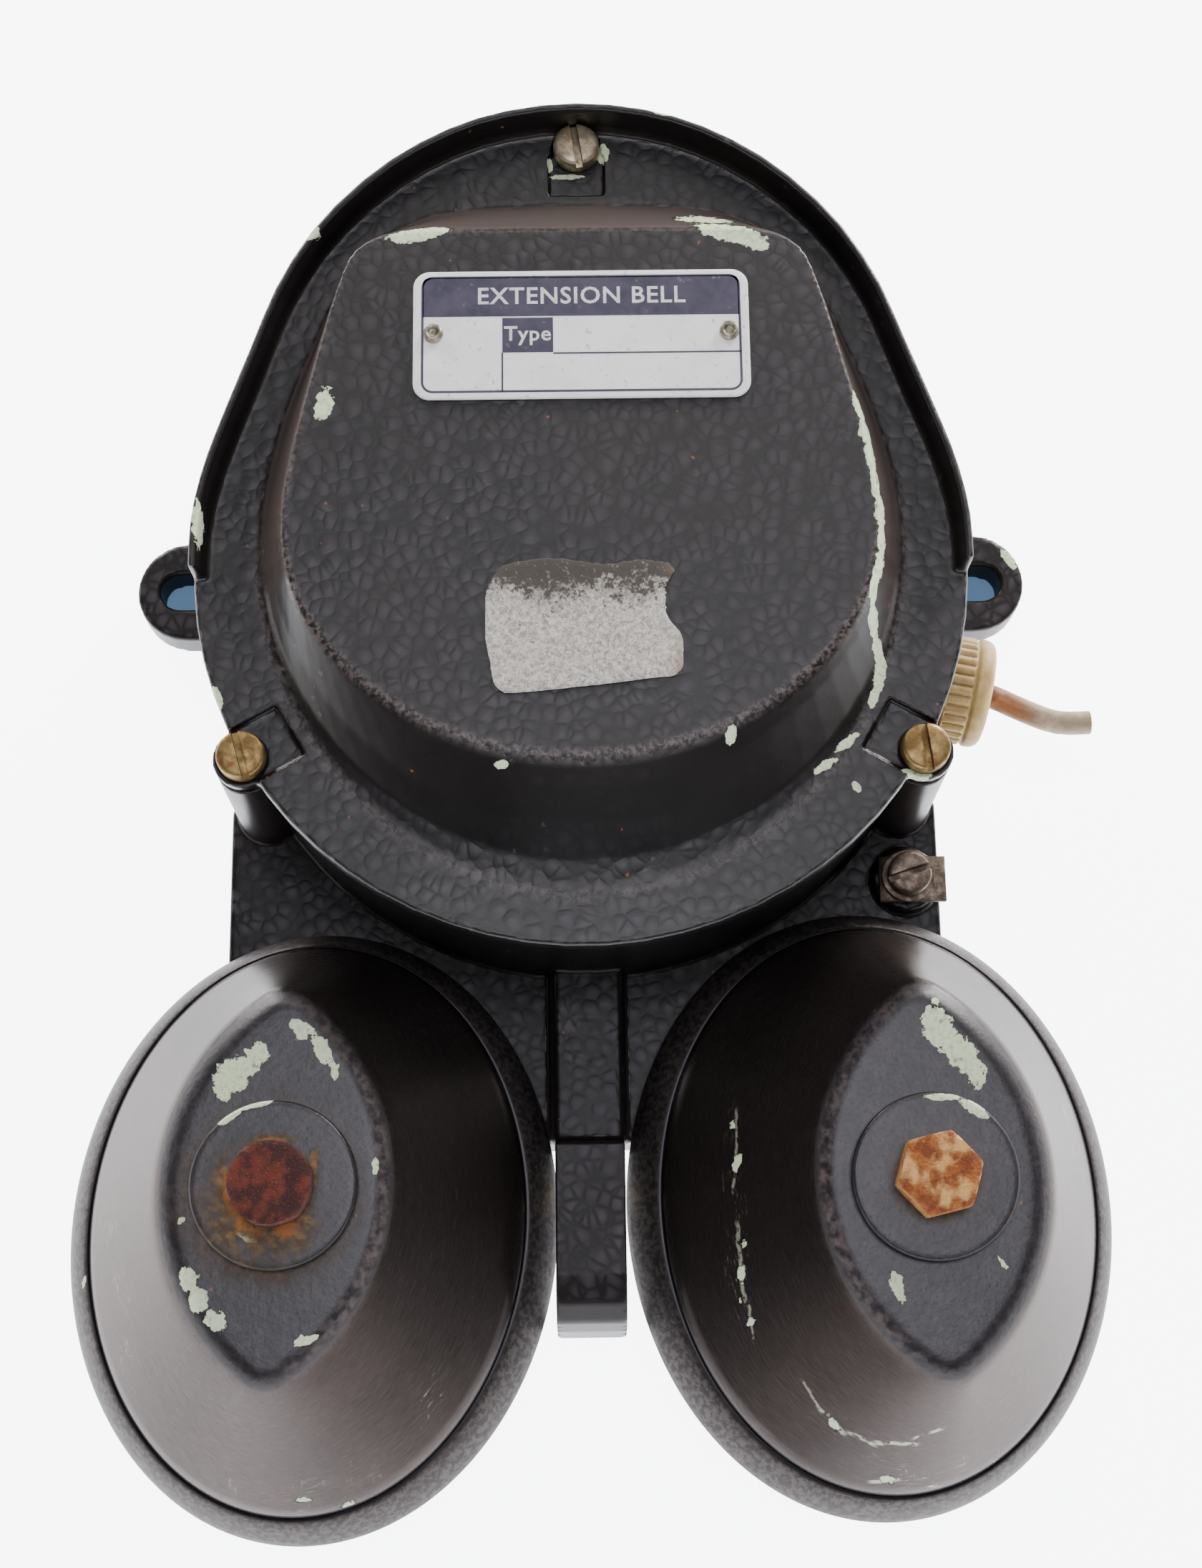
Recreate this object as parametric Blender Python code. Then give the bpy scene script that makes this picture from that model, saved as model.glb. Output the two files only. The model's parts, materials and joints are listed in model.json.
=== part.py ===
# Weatherproof telephone extension bell: cast housing and hooded cover, two oval gongs on
# posts below it, and a polarised ringer inside whose striker swings between the gongs.
#
# All lengths in this file are millimetres. x is to the right, z is up, and "depth" is the
# distance in front of the wall, so depth d is y = -d. The origin is on the back face, on the
# axis of the round lower part of the casing.

import bpy
import bmesh
from math import sin, cos, pi, radians, sqrt, hypot, atan2
from mathutils import Matrix, Vector

MM = 0.001
GAP = 0.3                       # clearance between neighbouring pieces

# ---- casing -------------------------------------------------------------------------------
CASE_R = 68.2                   # radius of the round lower half of the cover flange
CASE_TOP = 87.7                 # height of the top edge above the axis
# right half of the upper outline, from the top down to where it meets the round half
CASE_SHOULDER = [(0, CASE_TOP), (13.5, 86.1), (25.0, 81.9), (36.3, 74.6), (46.6, 64.0), (53.7, 52.0), (58.3, 39.6),
                 (62.4, 28.2), (65.8, 18.0), (67.8, 8.6), (CASE_R, 0)]
BACK_T = 4.0                    # back plate
WALL_T = 3.6
RIM_D = 48.8                    # front edge of the housing wall
COVER_D = 50.6                  # underside of the cover flange
FLANGE_D = 54.0                 # front of the cover flange
HOOD_D = 61.0                   # front edge of the rain hood
DOME_D = 62.0                   # front face of the cover's dome

# ---- wing plate under the casing, which carries the gongs ----------------------------------
WING_HALF = 66.3
WING_D = 15.0
WING_T = 4.0
WING_BOTTOM = -97.0
LOBE_X, LOBE_R = 54.0, 12.3

# ---- fixing lugs ---------------------------------------------------------------------------
LUG_X, LUG_Z, LUG_R, LUG_D = 77.3, 12.7, 10.0, 8.0
SLOT_R, SLOT_IN, SLOT_OUT = 3.7, 74.5, 79.2

# ---- cover screws, M5 with 8.5 mm cheese heads ----------------------------------------------
SCREW_LOW = (59.0, -34.3)
SCREW_TOP = (0.0, 82.0)
EAR_R = 5.2
HEAD_R, HEAD_H = 4.25, 3.3
SEAT_LOW, SEAT_TOP = 52.5, 52.8
CHANNEL_DEEP = 1.2              # recesses that run out from the dome to the screws

# ---- gongs: bolt axis, centre of the rim, lean of the crown ----------------------------------
POST_Z = -106.4
POST_L, POST_R = -53.3, 58.65
RIM_A, RIM_B = 43.4, 53.7       # half width and half height at the rim
RIM_OFF_L, RIM_OFF_R = (4.3, -5.9), (-8.55, -3.4)
CROWN_A, CROWN_B = 18.8, 32.4   # half width and half height of the eye-shaped flat
CROWN_LEAN = 2.45               # degrees, tops towards each other
RIM_LEAN_L, RIM_LEAN_R = 4.5, 3.2
GONG_RIM_D, GONG_GROOVE_D, GONG_TOP_D = 17.5, 24.0, 41.5
GONG_T = 2.0
DISC_R = 14.25
BOLT_AF, BOLT_H, BOLT_R = 13.0, 5.3, 4.0
POST_D = 37.4

# ---- ringer --------------------------------------------------------------------------------
PLATE_D = 11.3                  # front of the chassis plate
PIVOT_Z = -19.0
COIL_X, COIL_D = 17.0, 26.0
BALL = (0.0, 21.0, -105.2)      # x, depth, z
BALL_R = 4.2
ROD_R = 1.25
ROD_D = 16.5

# ---- cable gland ---------------------------------------------------------------------------
GLAND_ANGLE = -11.7             # degrees below the horizontal
GLAND_D = 24.0
CABLE_R = 2.2

for old in list(bpy.data.objects):
    bpy.data.objects.remove(old, do_unlink=True)


def material(name, colour, roughness, metallic):
    mat = bpy.data.materials.new(name)
    mat.use_nodes = True
    shader = mat.node_tree.nodes["Principled BSDF"]
    shader.inputs["Base Color"].default_value = (*colour, 1.0)
    shader.inputs["Roughness"].default_value = roughness
    shader.inputs["Metallic"].default_value = metallic
    mat.diffuse_color = (*colour, 1.0)
    return mat


HAMMERTONE = ("hammertone", (0.055, 0.053, 0.060), 0.45, 0.2)
GONG_METAL = ("gong_metal", (0.090, 0.080, 0.075), 0.38, 0.8)
ZINC = ("zinc_plated", (0.52, 0.50, 0.44), 0.40, 1.0)
BRASS = ("brass", (0.52, 0.42, 0.22), 0.40, 1.0)
RUST = ("rusty_steel", (0.30, 0.12, 0.05), 0.80, 0.3)
STEEL = ("steel", (0.42, 0.42, 0.42), 0.45, 1.0)
IRON = ("soft_iron", (0.25, 0.25, 0.26), 0.50, 1.0)
COPPER = ("enamelled_copper", (0.45, 0.17, 0.07), 0.35, 0.8)
BAKELITE = ("bakelite", (0.06, 0.035, 0.025), 0.40, 0.0)
RUBBER = ("rubber", (0.03, 0.03, 0.03), 0.80, 0.0)
FIBRE = ("fibre", (0.25, 0.10, 0.06), 0.70, 0.0)
IVORY = ("ivory_plastic", (0.72, 0.64, 0.44), 0.50, 0.0)
PVC = ("cable_sheath", (0.62, 0.58, 0.48), 0.55, 0.0)
PLATE = ("printed_aluminium", (0.72, 0.71, 0.68), 0.35, 0.3)
PAPER = ("paper", (0.62, 0.58, 0.50), 0.90, 0.0)
MAGNET = ("magnet_steel", (0.14, 0.14, 0.16), 0.45, 0.9)


def p(x, d, z):
    return Vector((x * MM, -d * MM, z * MM))


def new_object(name, bm, finish, origin=None):
    """Finish a bmesh as an object; origin is an (x, depth, z) that its own axes sit on."""
    bmesh.ops.recalc_face_normals(bm, faces=bm.faces[:])
    mesh = bpy.data.meshes.new(name)
    if origin is not None:
        bmesh.ops.translate(bm, vec=-p(*origin), verts=bm.verts[:])
    bm.to_mesh(mesh)
    bm.free()
    mesh.shade_smooth()
    mesh.set_sharp_from_angle(angle=radians(32))
    obj = bpy.data.objects.new(name, mesh)
    bpy.context.scene.collection.objects.link(obj)
    if origin is not None:
        obj.location = p(*origin)
    if finish is not None:
        mesh.materials.append(material(name + "_" + finish[0], *finish[1:]))
    return obj


def loft_into(bm, rings, closed=False):
    """Skin equal rings of points; closed joins the last ring to the first, else both are capped."""
    rows = [[bm.verts.new(q) for q in ring] for ring in rings]
    n = len(rows[0])
    pairs = list(zip(rows, rows[1:])) + ([(rows[-1], rows[0])] if closed else [])
    for a, b in pairs:
        for i in range(n):
            j = (i + 1) % n
            bm.faces.new((a[i], a[j], b[j], b[i]))
    if not closed:
        bm.faces.new(rows[0][::-1])
        bm.faces.new(rows[-1])


def loft(name, rings, finish, closed=False, origin=None):
    bm = bmesh.new()
    loft_into(bm, rings, closed)
    return new_object(name, bm, finish, origin)


def prism(name, outline, d0, d1, finish=None, origin=None):
    return loft(name, [[p(x, d, z) for x, z in outline] for d in (d0, d1)], finish, origin=origin)


def frame_to(centre, direction):
    """Matrix that takes +Z to a direction, with its origin at centre."""
    turn = Vector(direction).normalized().to_track_quat("Z", "Y").to_matrix().to_4x4()
    return Matrix.Translation(centre) @ turn


FRONT = (0, -1, 0)
UP = (0, 0, 1)


def turned_rings(profile, centre, direction, n, phase=0.0):
    m = frame_to(p(*centre), direction)
    return [[m @ Vector((r * MM * cos(phase + 2 * pi * i / n), r * MM * sin(phase + 2 * pi * i / n), a * MM))
             for i in range(n)] for r, a in profile]


def turned(name, profile, centre, direction, finish=None, n=24, ring=False, origin=None, phase=0.0):
    """Solid of revolution: profile is (radius, distance along the axis); ring=True has a bore."""
    return loft(name, turned_rings(profile, centre, direction, n, phase), finish, closed=ring, origin=origin)


def bolt(name, centre, direction, finish, head_r, head_h, shank_r, shank_l, slot=0.0, n=20, hexagon=False):
    """Screw whose head stands on centre; slot is the angle of its slot in degrees, None for no slot."""
    bm = bmesh.new()
    sides = 6 if hexagon else n
    chamfer = 0.12 * head_r
    profile = [(shank_r, -shank_l), (shank_r, 0.0), (head_r, 0.0), (head_r, head_h - chamfer),
               (head_r - chamfer, head_h)]
    rings = turned_rings(profile[:2], centre, direction, 12)
    loft_into(bm, rings)
    shank = new_object(name, bm, finish, origin=centre)
    head = turned(name + ".head_form", [(head_r, -0.0), (head_r, head_h - chamfer), (head_r - chamfer, head_h)],
                  centre, direction, n=sides, phase=radians(14))
    shank_overlap(shank, head)
    if slot is not None:
        half_w, deep = 0.14 * head_r, 0.42 * head_h
        m = frame_to(p(*centre), direction) @ Matrix.Rotation(radians(slot), 4, "Z")
        box = box_points(-head_r * 1.2, head_r * 1.2, -half_w, half_w, head_h - deep, head_h + 1.0)
        cutter = loft(name + ".slot_form", [[m @ (Vector(q) * MM) for q in ring] for ring in box], None)
        combine(shank, cutter, "DIFFERENCE")
    return shank


def box_points(x0, x1, y0, y1, z0, z1):
    return [[(x0, y0, z), (x1, y0, z), (x1, y1, z), (x0, y1, z)] for z in (z0, z1)]


def combine(target, other, operation):
    other.hide_render = True
    other.display_type = "WIRE"
    mod = target.modifiers.new(operation.lower() + "_" + other.name, "BOOLEAN")
    mod.operation = operation
    mod.solver = "EXACT"
    mod.object = other
    return target


def shank_overlap(shank, head):
    """Join a head to its shank: the head form reaches a little way down over the shank."""
    combine(shank, head, "UNION")


def block(name, x, d, z, finish=None, origin=None):
    """Rectangular block from (low, high) pairs of x, depth and z."""
    outline = [(x[0], z[0]), (x[1], z[0]), (x[1], z[1]), (x[0], z[1])]
    return prism(name, outline, d[0], d[1], finish, origin)


def arc(cx, cz, r, a0, a1, n):
    return [(cx + r * cos(radians(a0 + (a1 - a0) * i / n)), cz + r * sin(radians(a0 + (a1 - a0) * i / n)))
            for i in range(n + 1)]


def spline(a, b, c, d, t):
    """Catmull-Rom point between b and c."""
    return tuple(0.5 * (2 * q1 + (q2 - q0) * t + (2 * q0 - 5 * q1 + 4 * q2 - q3) * t ** 2
                        + (3 * q1 - q0 - 3 * q2 + q3) * t ** 3) for q0, q1, q2, q3 in zip(a, b, c, d))


def case_point(t, inset=0.0):
    """Point of the casing's outline at angle t: round below the axis, egg-shaped above it."""
    c, s = cos(t), sin(t)
    if s <= 0:
        return (CASE_R - inset) * c, (CASE_R - inset) * s
    chain = [(-CASE_SHOULDER[1][0], CASE_SHOULDER[1][1])] + CASE_SHOULDER + [(CASE_SHOULDER[-2][0], -CASE_SHOULDER[-2][1])]
    along = abs(t - pi / 2) / (pi / 2) * (len(CASE_SHOULDER) - 1)
    k = min(int(along), len(CASE_SHOULDER) - 2)
    x, z = spline(*chain[k:k + 4], along - k)
    x *= (CASE_R - inset) / CASE_R
    return (x if c >= 0 else -x), z * (CASE_TOP - inset) / CASE_TOP


def case_outline(inset=0.0, n=64):
    return [case_point(2 * pi * (i + 0.5) / n, inset) for i in range(n)]


def joined(name, parts, finish=None):
    """Several separate closed forms in one object, for use as one cutter."""
    bm = bmesh.new()
    for rings, closed in parts:
        loft_into(bm, rings, closed)
    return new_object(name, bm, finish)


def smooth_half(points, per=2):
    """Closed outline through a half outline given from top centre to bottom centre, mirrored."""
    full = points + [(-x, z) for x, z in points[-2:0:-1]]
    n = len(full)
    return [spline(*(full[(i + k - 1) % n] for k in range(4)), j / per) for i in range(n) for j in range(per)]


# ============================================================================================
# Housing casting
# ============================================================================================

def wing_outline(inset=0.0):
    """Plate under the casing: straight sides, a lobe round each gong post, a shallow bottom edge."""
    w, r = WING_HALF - inset, LOBE_R - inset
    lower = arc(LOBE_X, POST_Z, r, 0, -180, 12)
    right = [(w, POST_Z + 3)] + lower + [(LOBE_X - r, WING_BOTTOM - 4 + inset), (LOBE_X - r - 4, WING_BOTTOM + inset)]
    top = -31.0
    right = [(58.0, top + 6), (w - 3, top + 1), (w, top - 3)] + right
    left = [(-x, z) for x, z in reversed(right)]
    return right + left


def housing():
    body = loft("housing", [[p(x, d, z) for x, z in case_outline(inset)]
                            for d, inset in ((-1.0, 1.2), (RIM_D, 2.4))], HAMMERTONE)
    wing = prism("wing_form", wing_outline(), -1.0, WING_D)
    combine(body, wing, "UNION")

    lugs = []
    for side in (-1, 1):
        outline = arc(LUG_X, LUG_Z, LUG_R, -90, 90, 12) + [(58, LUG_Z + LUG_R), (58, LUG_Z - LUG_R)]
        lugs.append(([[p(side * x, d, z) for x, z in outline] for d in (-1.0, LUG_D)], False))
    combine(body, joined("lug_form", lugs), "UNION")

    # pillars under the two lower cover screws and posts under the gongs
    pillars = []
    for side in (-1, 1):
        pillars.append((turned_rings([(6.4, 0.5), (EAR_R + 0.1, RIM_D)], (side * SCREW_LOW[0], 0, SCREW_LOW[1]),
                                     FRONT, 20), False))
    for x in (POST_L, POST_R):
        pillars.append((turned_rings([(8.4, 10.5), (8.0, WING_D + 1), (6.8, POST_D)], (x, 0, POST_Z), FRONT, 20), False))
    combine(body, joined("pillar_form", pillars), "UNION")

    # guard over the clapper rod, then the deeper hood over the striker
    roof_side = [(-62.0, 14.0), (-62.0, 22.0), (-97.2, 22.0), (-98.4, 29.0), (-121.5, 29.0), (-126.0, 27.6),
                 (-129.2, 24.6), (-130.6, 20.0), (-131.6, 13.0), (-129.3, 13.0), (-128.4, 19.6), (-127.2, 23.4),
                 (-124.8, 25.6), (-121.0, 26.6), (-100.6, 26.6), (-99.4, 18.0), (-99.4, 14.0)]
    guard = loft("guard_form", [[p(x, d, z) for z, d in roof_side] for x in (-5.9, 6.4)], None)
    combine(body, guard, "UNION")
    guard_foot = prism("guard_foot_form", [(-6.9, -62), (6.9, -62), (6.9, -97.2), (-6.9, -97.2)], 13.0, 16.6)
    combine(body, guard_foot, "UNION")

    # inner space of the casing, keeping the boss of the top screw
    cavity = loft("cavity_form", [[p(x, d, z) for x, z in case_outline(inset)]
                                  for d, inset in ((BACK_T, WALL_T + 1.4), (RIM_D + 3, WALL_T + 2.5))], None)
    combine(body, cavity, "DIFFERENCE")
    bosses = [(turned_rings([(5.6, BACK_T - 1), (5.0, RIM_D)], (SCREW_TOP[0], 0, SCREW_TOP[1] - 0.6), FRONT, 20), False)]
    for x in (-33.0, 33.0):
        for z in (-40.0, 43.0):
            bosses.append((turned_rings([(4.6, BACK_T - 1), (4.0, PLATE_D - 2.0 - GAP)], (x, 0, z), FRONT, 12), False))
    combine(body, joined("boss_form", bosses), "UNION")

    # boss for the gland on the right-hand wall
    gx, gz = cos(radians(GLAND_ANGLE)), sin(radians(GLAND_ANGLE))
    axis = (gx, 0, gz)
    gland_boss = turned("gland_boss_form", [(11.0, 63.0), (10.4, 68.3)], (0, GLAND_D, 0), axis, n=24)
    combine(body, gland_boss, "UNION")
    earth = turned("earth_boss_form", [(6.4, WING_D - 1), (6.0, 18.0)], (59.8, 0, -49.3), FRONT, n=16)
    combine(body, earth, "UNION")

    # hollow back of the wing plate, between the casing's wall and the two post lobes
    w = WING_HALF - WING_T
    pocket = [(w, -42.0), (w, -93.0), (-w, -93.0), (-w, -42.0)] + arc(0, 0, CASE_R - 0.4, -141.5, -38.5, 16)
    combine(body, prism("pocket_form", pocket, -2.0, WING_D - WING_T), "DIFFERENCE")

    # bores: cover screws, gong bolts, gland, lug slots, earth screw, chassis screws, clapper slot
    bores = []
    for side in (-1, 1):
        bores.append((turned_rings([(2.8, 28.0), (2.8, 60.0)], (side * SCREW_LOW[0], 0, SCREW_LOW[1]), FRONT, 16), False))
    bores.append((turned_rings([(2.8, 28.0), (2.8, 60.0)], (SCREW_TOP[0], 0, SCREW_TOP[1]), FRONT, 16), False))
    for x in (POST_L, POST_R):
        bores.append((turned_rings([(BOLT_R + GAP, 14.0), (BOLT_R + GAP, 60.0)], (x, 0, POST_Z), FRONT, 16), False))
    for x in (-33.0, 33.0):
        for z in (-40.0, 43.0):
            bores.append((turned_rings([(2.3, 3.0), (2.3, 14.0)], (x, 0, z), FRONT, 12), False))
    bores.append((turned_rings([(2.8, 9.0), (2.8, 30.0)], (59.8, 0, -49.3), FRONT, 16), False))
    bores.append((turned_rings([(7.3, 56.0), (7.3, 75.0)], (0, GLAND_D, 0), axis, 20), False))
    for side in (-1, 1):
        slot = arc(side * SLOT_OUT, LUG_Z, SLOT_R, -90, 90, 8) + arc(side * SLOT_IN, LUG_Z, SLOT_R, 90, 270, 8)
        if side < 0:
            slot = arc(side * SLOT_OUT, LUG_Z, SLOT_R, 90, 270, 8) + arc(side * SLOT_IN, LUG_Z, SLOT_R, -90, 90, 8)
        bores.append(([[p(x, d, z) for x, z in slot] for d in (-3.0, 12.0)], False))
    combine(body, joined("bore_form", bores), "DIFFERENCE")

    # passage of the clapper rod: through the casing wall and along under the guard
    throat = block("throat_form", (-4.9, 5.3), (12.0, 21.0), (-69.0, -58.0))
    combine(body, throat, "DIFFERENCE")
    tunnel = block("tunnel_form", (-4.6, 5.1), (6.0, 20.0), (-102.0, -68.5))
    combine(body, tunnel, "DIFFERENCE")
    relief = block("relief_form", (-4.6, 5.1), (10.0, 21.0), (-103.0, -98.6))
    combine(body, relief, "DIFFERENCE")

    # one flat back face
    trim = block("trim_form", (-120, 120), (-6.0, 0.0), (-150, 120))
    combine(body, trim, "DIFFERENCE")
    return body


# ============================================================================================
# Cover casting
# ============================================================================================

FACE_HALF = [(0, 61.0), (20, 61.0), (33, 60.6), (39.8, 57.5), (43, 50), (46.5, 36), (50, 20), (51.7, 7),
             (50.3, -4), (46, -13), (38, -22.3), (26, -30.4), (13, -34.7), (0, -36)]
BASE_HALF = [(0, 71.5), (17, 71.0), (28, 68.5), (37, 62.5), (43.5, 53), (48.8, 41.0), (54, 26), (57, 10),
             (56.2, -6), (52, -22), (43.5, -37), (30, -50), (15, -57.5), (0, -59.8)]


def dome_ring(s, d, grow=0.0, per=3):
    """Outline between the dome's foot (s=0) and its flat face (s=1) at depth d."""
    half = [((1 - s) * b[0] + s * f[0], (1 - s) * b[1] + s * f[1]) for b, f in zip(BASE_HALF, FACE_HALF)]
    out = smooth_half(half, per)
    if grow:
        out = [(x * (1 + grow / 50.0), 6 + (z - 6) * (1 + grow / 50.0)) for x, z in out]
    return [p(x, d, z) for x, z in out]


def cover():
    plate = loft("cover", [[p(x, d, z) for x, z in case_outline(inset)]
                           for d, inset in ((COVER_D, 0.0), (FLANGE_D - 0.4, 0.0), (FLANGE_D, 0.4))], HAMMERTONE)
    ears = []
    for side in (-1, 1):
        ears.append((turned_rings([(EAR_R, COVER_D), (EAR_R, FLANGE_D)], (side * SCREW_LOW[0], 0, SCREW_LOW[1]),
                                  FRONT, 24), False))
    combine(plate, joined("ear_form", ears), "UNION")

    # rain hood: a lip round the upper half, thick at its foot
    section = [(0.0, 51.5), (0.0, HOOD_D - 0.4), (0.35, HOOD_D), (1.0, HOOD_D), (1.35, HOOD_D - 0.4),
               (1.75, FLANGE_D + 1.6), (2.6, FLANGE_D - 0.3), (2.6, 51.5)]
    stations = 44
    t0 = -radians(1.6)
    rings = []
    for i in range(stations + 1):
        t = t0 + (pi - 2 * t0) * i / stations
        ring = []
        for inset, d in section:
            x, z = case_point(t, inset)
            ring.append(p(x, d, z))
        rings.append(ring)
    combine(plate, loft("hood_form", rings, None), "UNION")

    rise = DOME_D - FLANGE_D
    dome = [dome_ring(s, FLANGE_D + rise * h) for s, h in ((0.0, -0.12), (0.0, 0.0), (0.10, 0.025), (0.25, 0.13),
                                                           (0.50, 0.43), (0.74, 0.745), (0.88, 0.92),
                                                           (0.955, 0.983), (1.0, 1.0))]
    combine(plate, loft("dome_form", dome, None), "UNION")
    hollow = [dome_ring(s, d, -4.0, 1) for s, d in ((0.35, COVER_D - 1.0), (0.45, FLANGE_D), (0.95, DOME_D - 3.2))]
    combine(plate, loft("hollow_form", hollow, None), "DIFFERENCE")

    cuts = []
    turn = atan2(SCREW_LOW[1], SCREW_LOW[0])
    for angle, near, far in ((pi / 2, 72.6, SCREW_TOP[1] - 1.0), (turn, 58.6, 76.0), (pi - turn, 58.6, 76.0)):
        c, z = cos(angle), sin(angle)
        across = [(r * c - w * z, r * z + w * c) for r, w in
                  ((near, -EAR_R), (far, -EAR_R), (far, EAR_R), (near, EAR_R))]
        cuts.append(([[p(u, d, v) for u, v in across] for d in (FLANGE_D - CHANNEL_DEEP, FLANGE_D + 2.0)], False))
    combine(plate, joined("channel_form", cuts), "DIFFERENCE")

    cuts = []
    for side in (-1, 1):
        at = (side * SCREW_LOW[0], 0, SCREW_LOW[1])
        cuts.append((turned_rings([(2.8, 45.0), (2.8, SEAT_LOW), (HEAD_R + GAP, SEAT_LOW), (HEAD_R + GAP, 63.0)],
                                  at, FRONT, 24), False))
    at = (SCREW_TOP[0], 0, SCREW_TOP[1])
    cuts.append((turned_rings([(2.8, 45.0), (2.8, SEAT_TOP), (HEAD_R + GAP, SEAT_TOP), (HEAD_R + GAP, 59.0)],
                              at, FRONT, 24), False))
    for side in (-1, 1):
        cuts.append((turned_rings([(1.35, DOME_D - 2.0), (1.35, DOME_D + 3)], (0.5 + side * 26.2, 0, 40.3), FRONT, 12),
                     False))
    combine(plate, joined("seat_form", cuts), "DIFFERENCE")
    return plate


def gasket():
    ring = loft("cover_gasket", [[p(x, d, z) for x, z in case_outline(inset, 44)]
                                 for inset, d in ((2.7, 49.1), (2.7, 50.3), (5.8, 50.3), (5.8, 49.1))],
                RUBBER, closed=True)
    tab = turned("gasket_tab_form", [(4.8, 49.1), (4.8, 50.3)], (0, 0, SCREW_TOP[1] - 0.8), FRONT, n=20)
    combine(ring, tab, "UNION")
    holes = [(turned_rings([(2.9, 45.0), (2.9, 55.0)], (x, 0, z), FRONT, 16), False)
             for x, z in (SCREW_TOP, SCREW_LOW, (-SCREW_LOW[0], SCREW_LOW[1]))]
    combine(ring, joined("gasket_hole_form", holes), "DIFFERENCE")
    return ring


# ============================================================================================
# Gongs
# ============================================================================================

def turn_point(x, z, angle):
    return x * cos(angle) - z * sin(angle), x * sin(angle) + z * cos(angle)


def gong_ring(centre_x, offset, leans, a, b, share, d, eye, n=48, shrink=0.0):
    """Ring of the gong about its bolt: eye=1 is the pointed crown outline, eye=0 an ellipse."""
    out = []
    arc_r = (CROWN_A ** 2 + CROWN_B ** 2) / (2 * CROWN_A)
    for i in range(n):
        t = 2 * pi * (i + 0.5) / n
        ex, ez = turn_point((a - shrink) * cos(t), (b - shrink) * sin(t), leans[1])
        # the eye is two arcs through its tips, eased a little at the tips
        lz = (CROWN_B - shrink) * sin(t)
        lx = sqrt(max(arc_r ** 2 - (lz * CROWN_B / (CROWN_B - shrink) if shrink else lz) ** 2, 0)) - (arc_r - CROWN_A)
        lx = max(lx - shrink * 0.8, 0.35 + 2.2 * abs(cos(t))) * (1 if cos(t) >= 0 else -1)
        rx, rz = turn_point(lx, lz, leans[0])
        x = eye * rx + (1 - eye) * (ex + offset[0] * share)
        z = eye * rz + (1 - eye) * (ez + offset[1] * share)
        out.append(p(centre_x + x, d, POST_Z + z))
    return out


def gong(name, x, offset, leans):
    """Pressed oval gong: flat eye-shaped crown, straight skirt, steeper band at the rim."""
    top, groove, rim = GONG_TOP_D, GONG_GROOVE_D, GONG_RIM_D
    t = GONG_T

    def skirt(part, d, ga=37.9, gb=49.1):
        """Ring of the straight skirt; part runs from 0 at the crown to 1 at the groove."""
        return ga, gb, 0.86, d, 1.0 - part

    outer = [skirt(0.0, top), skirt(0.04, top - 0.35), skirt(0.10, top - 1.5), skirt(0.40, 34.7), skirt(0.70, 29.4),
             skirt(1.0, groove), (38.3, 49.5, 0.87, groove - 0.8, 0.0), (38.9, 50.1, 0.88, groove - 0.7, 0.0),
             (42.0, 52.4, 0.95, 20.4, 0.0), (RIM_A, RIM_B, 1.0, rim + 0.6, 0.0), (RIM_A - 0.1, RIM_B - 0.1, 1.0, rim, 0.0)]
    inner = [(RIM_A - t, RIM_B - t, 1.0, rim, 0.0), (39.9, 50.3, 0.95, 19.8, 0.0), skirt(1.0, groove - 1.6, 36.9, 47.6),
             skirt(0.55, 30.4, 36.9, 47.6), skirt(0.12, top - t - 0.9, 36.9, 47.6), skirt(0.0, top - t)]
    rings = [hole_ring(x, top, BOLT_R + GAP)]
    rings += [gong_ring(x, offset, leans, a, b, share, d, eye) for a, b, share, d, eye in outer]
    rings += [gong_ring(x, offset, leans, a, b, share, d, eye, shrink=1.6 if eye == 1.0 else 0.0)
              for a, b, share, d, eye in inner]
    rings += [hole_ring(x, top - t, BOLT_R + GAP)]
    return loft(name, rings, GONG_METAL, closed=True, origin=(x, top, POST_Z))


def hole_ring(x, d, r, n=48):
    return [p(x + r * cos(2 * pi * (i + 0.5) / n), d, POST_Z + r * sin(2 * pi * (i + 0.5) / n)) for i in range(n)]


def gong_set(side, x, offset, leans):
    gong("gong_" + side, x, offset, leans)
    top = GONG_TOP_D + GAP
    turned("gong_disc_" + side, [(BOLT_R + GAP, top), (DISC_R, top), (DISC_R, 43.5), (DISC_R - 0.5, 44.0),
                                 (BOLT_R + GAP, 44.0)], (x, 0, POST_Z), FRONT, HAMMERTONE, n=32, ring=True,
           origin=(x, 44.0, POST_Z))
    under = GONG_TOP_D - GONG_T - GAP
    turned("gong_washer_" + side, [(BOLT_R + GAP, POST_D + GAP), (8.0, POST_D + GAP), (8.0, under), (BOLT_R + GAP, under)],
           (x, 0, POST_Z), FRONT, FIBRE, n=20, ring=True, origin=(x, under, POST_Z))
    bolt("gong_bolt_" + side, (x, 44.0 + GAP, POST_Z), FRONT, RUST, BOLT_AF / 2 / cos(pi / 6), BOLT_H, BOLT_R, 26.0,
         slot=None, hexagon=True)


# ============================================================================================
# Ringer
# ============================================================================================

def tube(name, points, radius, finish, resolution=3, origin=None):
    curve = bpy.data.curves.new(name, "CURVE")
    curve.dimensions = "3D"
    curve.bevel_depth = radius * MM
    curve.bevel_resolution = resolution
    curve.use_fill_caps = True
    line = curve.splines.new("POLY")
    line.points.add(len(points) - 1)
    base = p(*origin) if origin else Vector((0, 0, 0))
    for q, (x, d, z) in zip(line.points, points):
        q.co = (*(p(x, d, z) - base), 1.0)
    obj = bpy.data.objects.new(name, curve)
    obj.location = base
    bpy.context.scene.collection.objects.link(obj)
    curve.materials.append(material(name + "_" + finish[0], *finish[1:]))
    return obj


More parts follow.
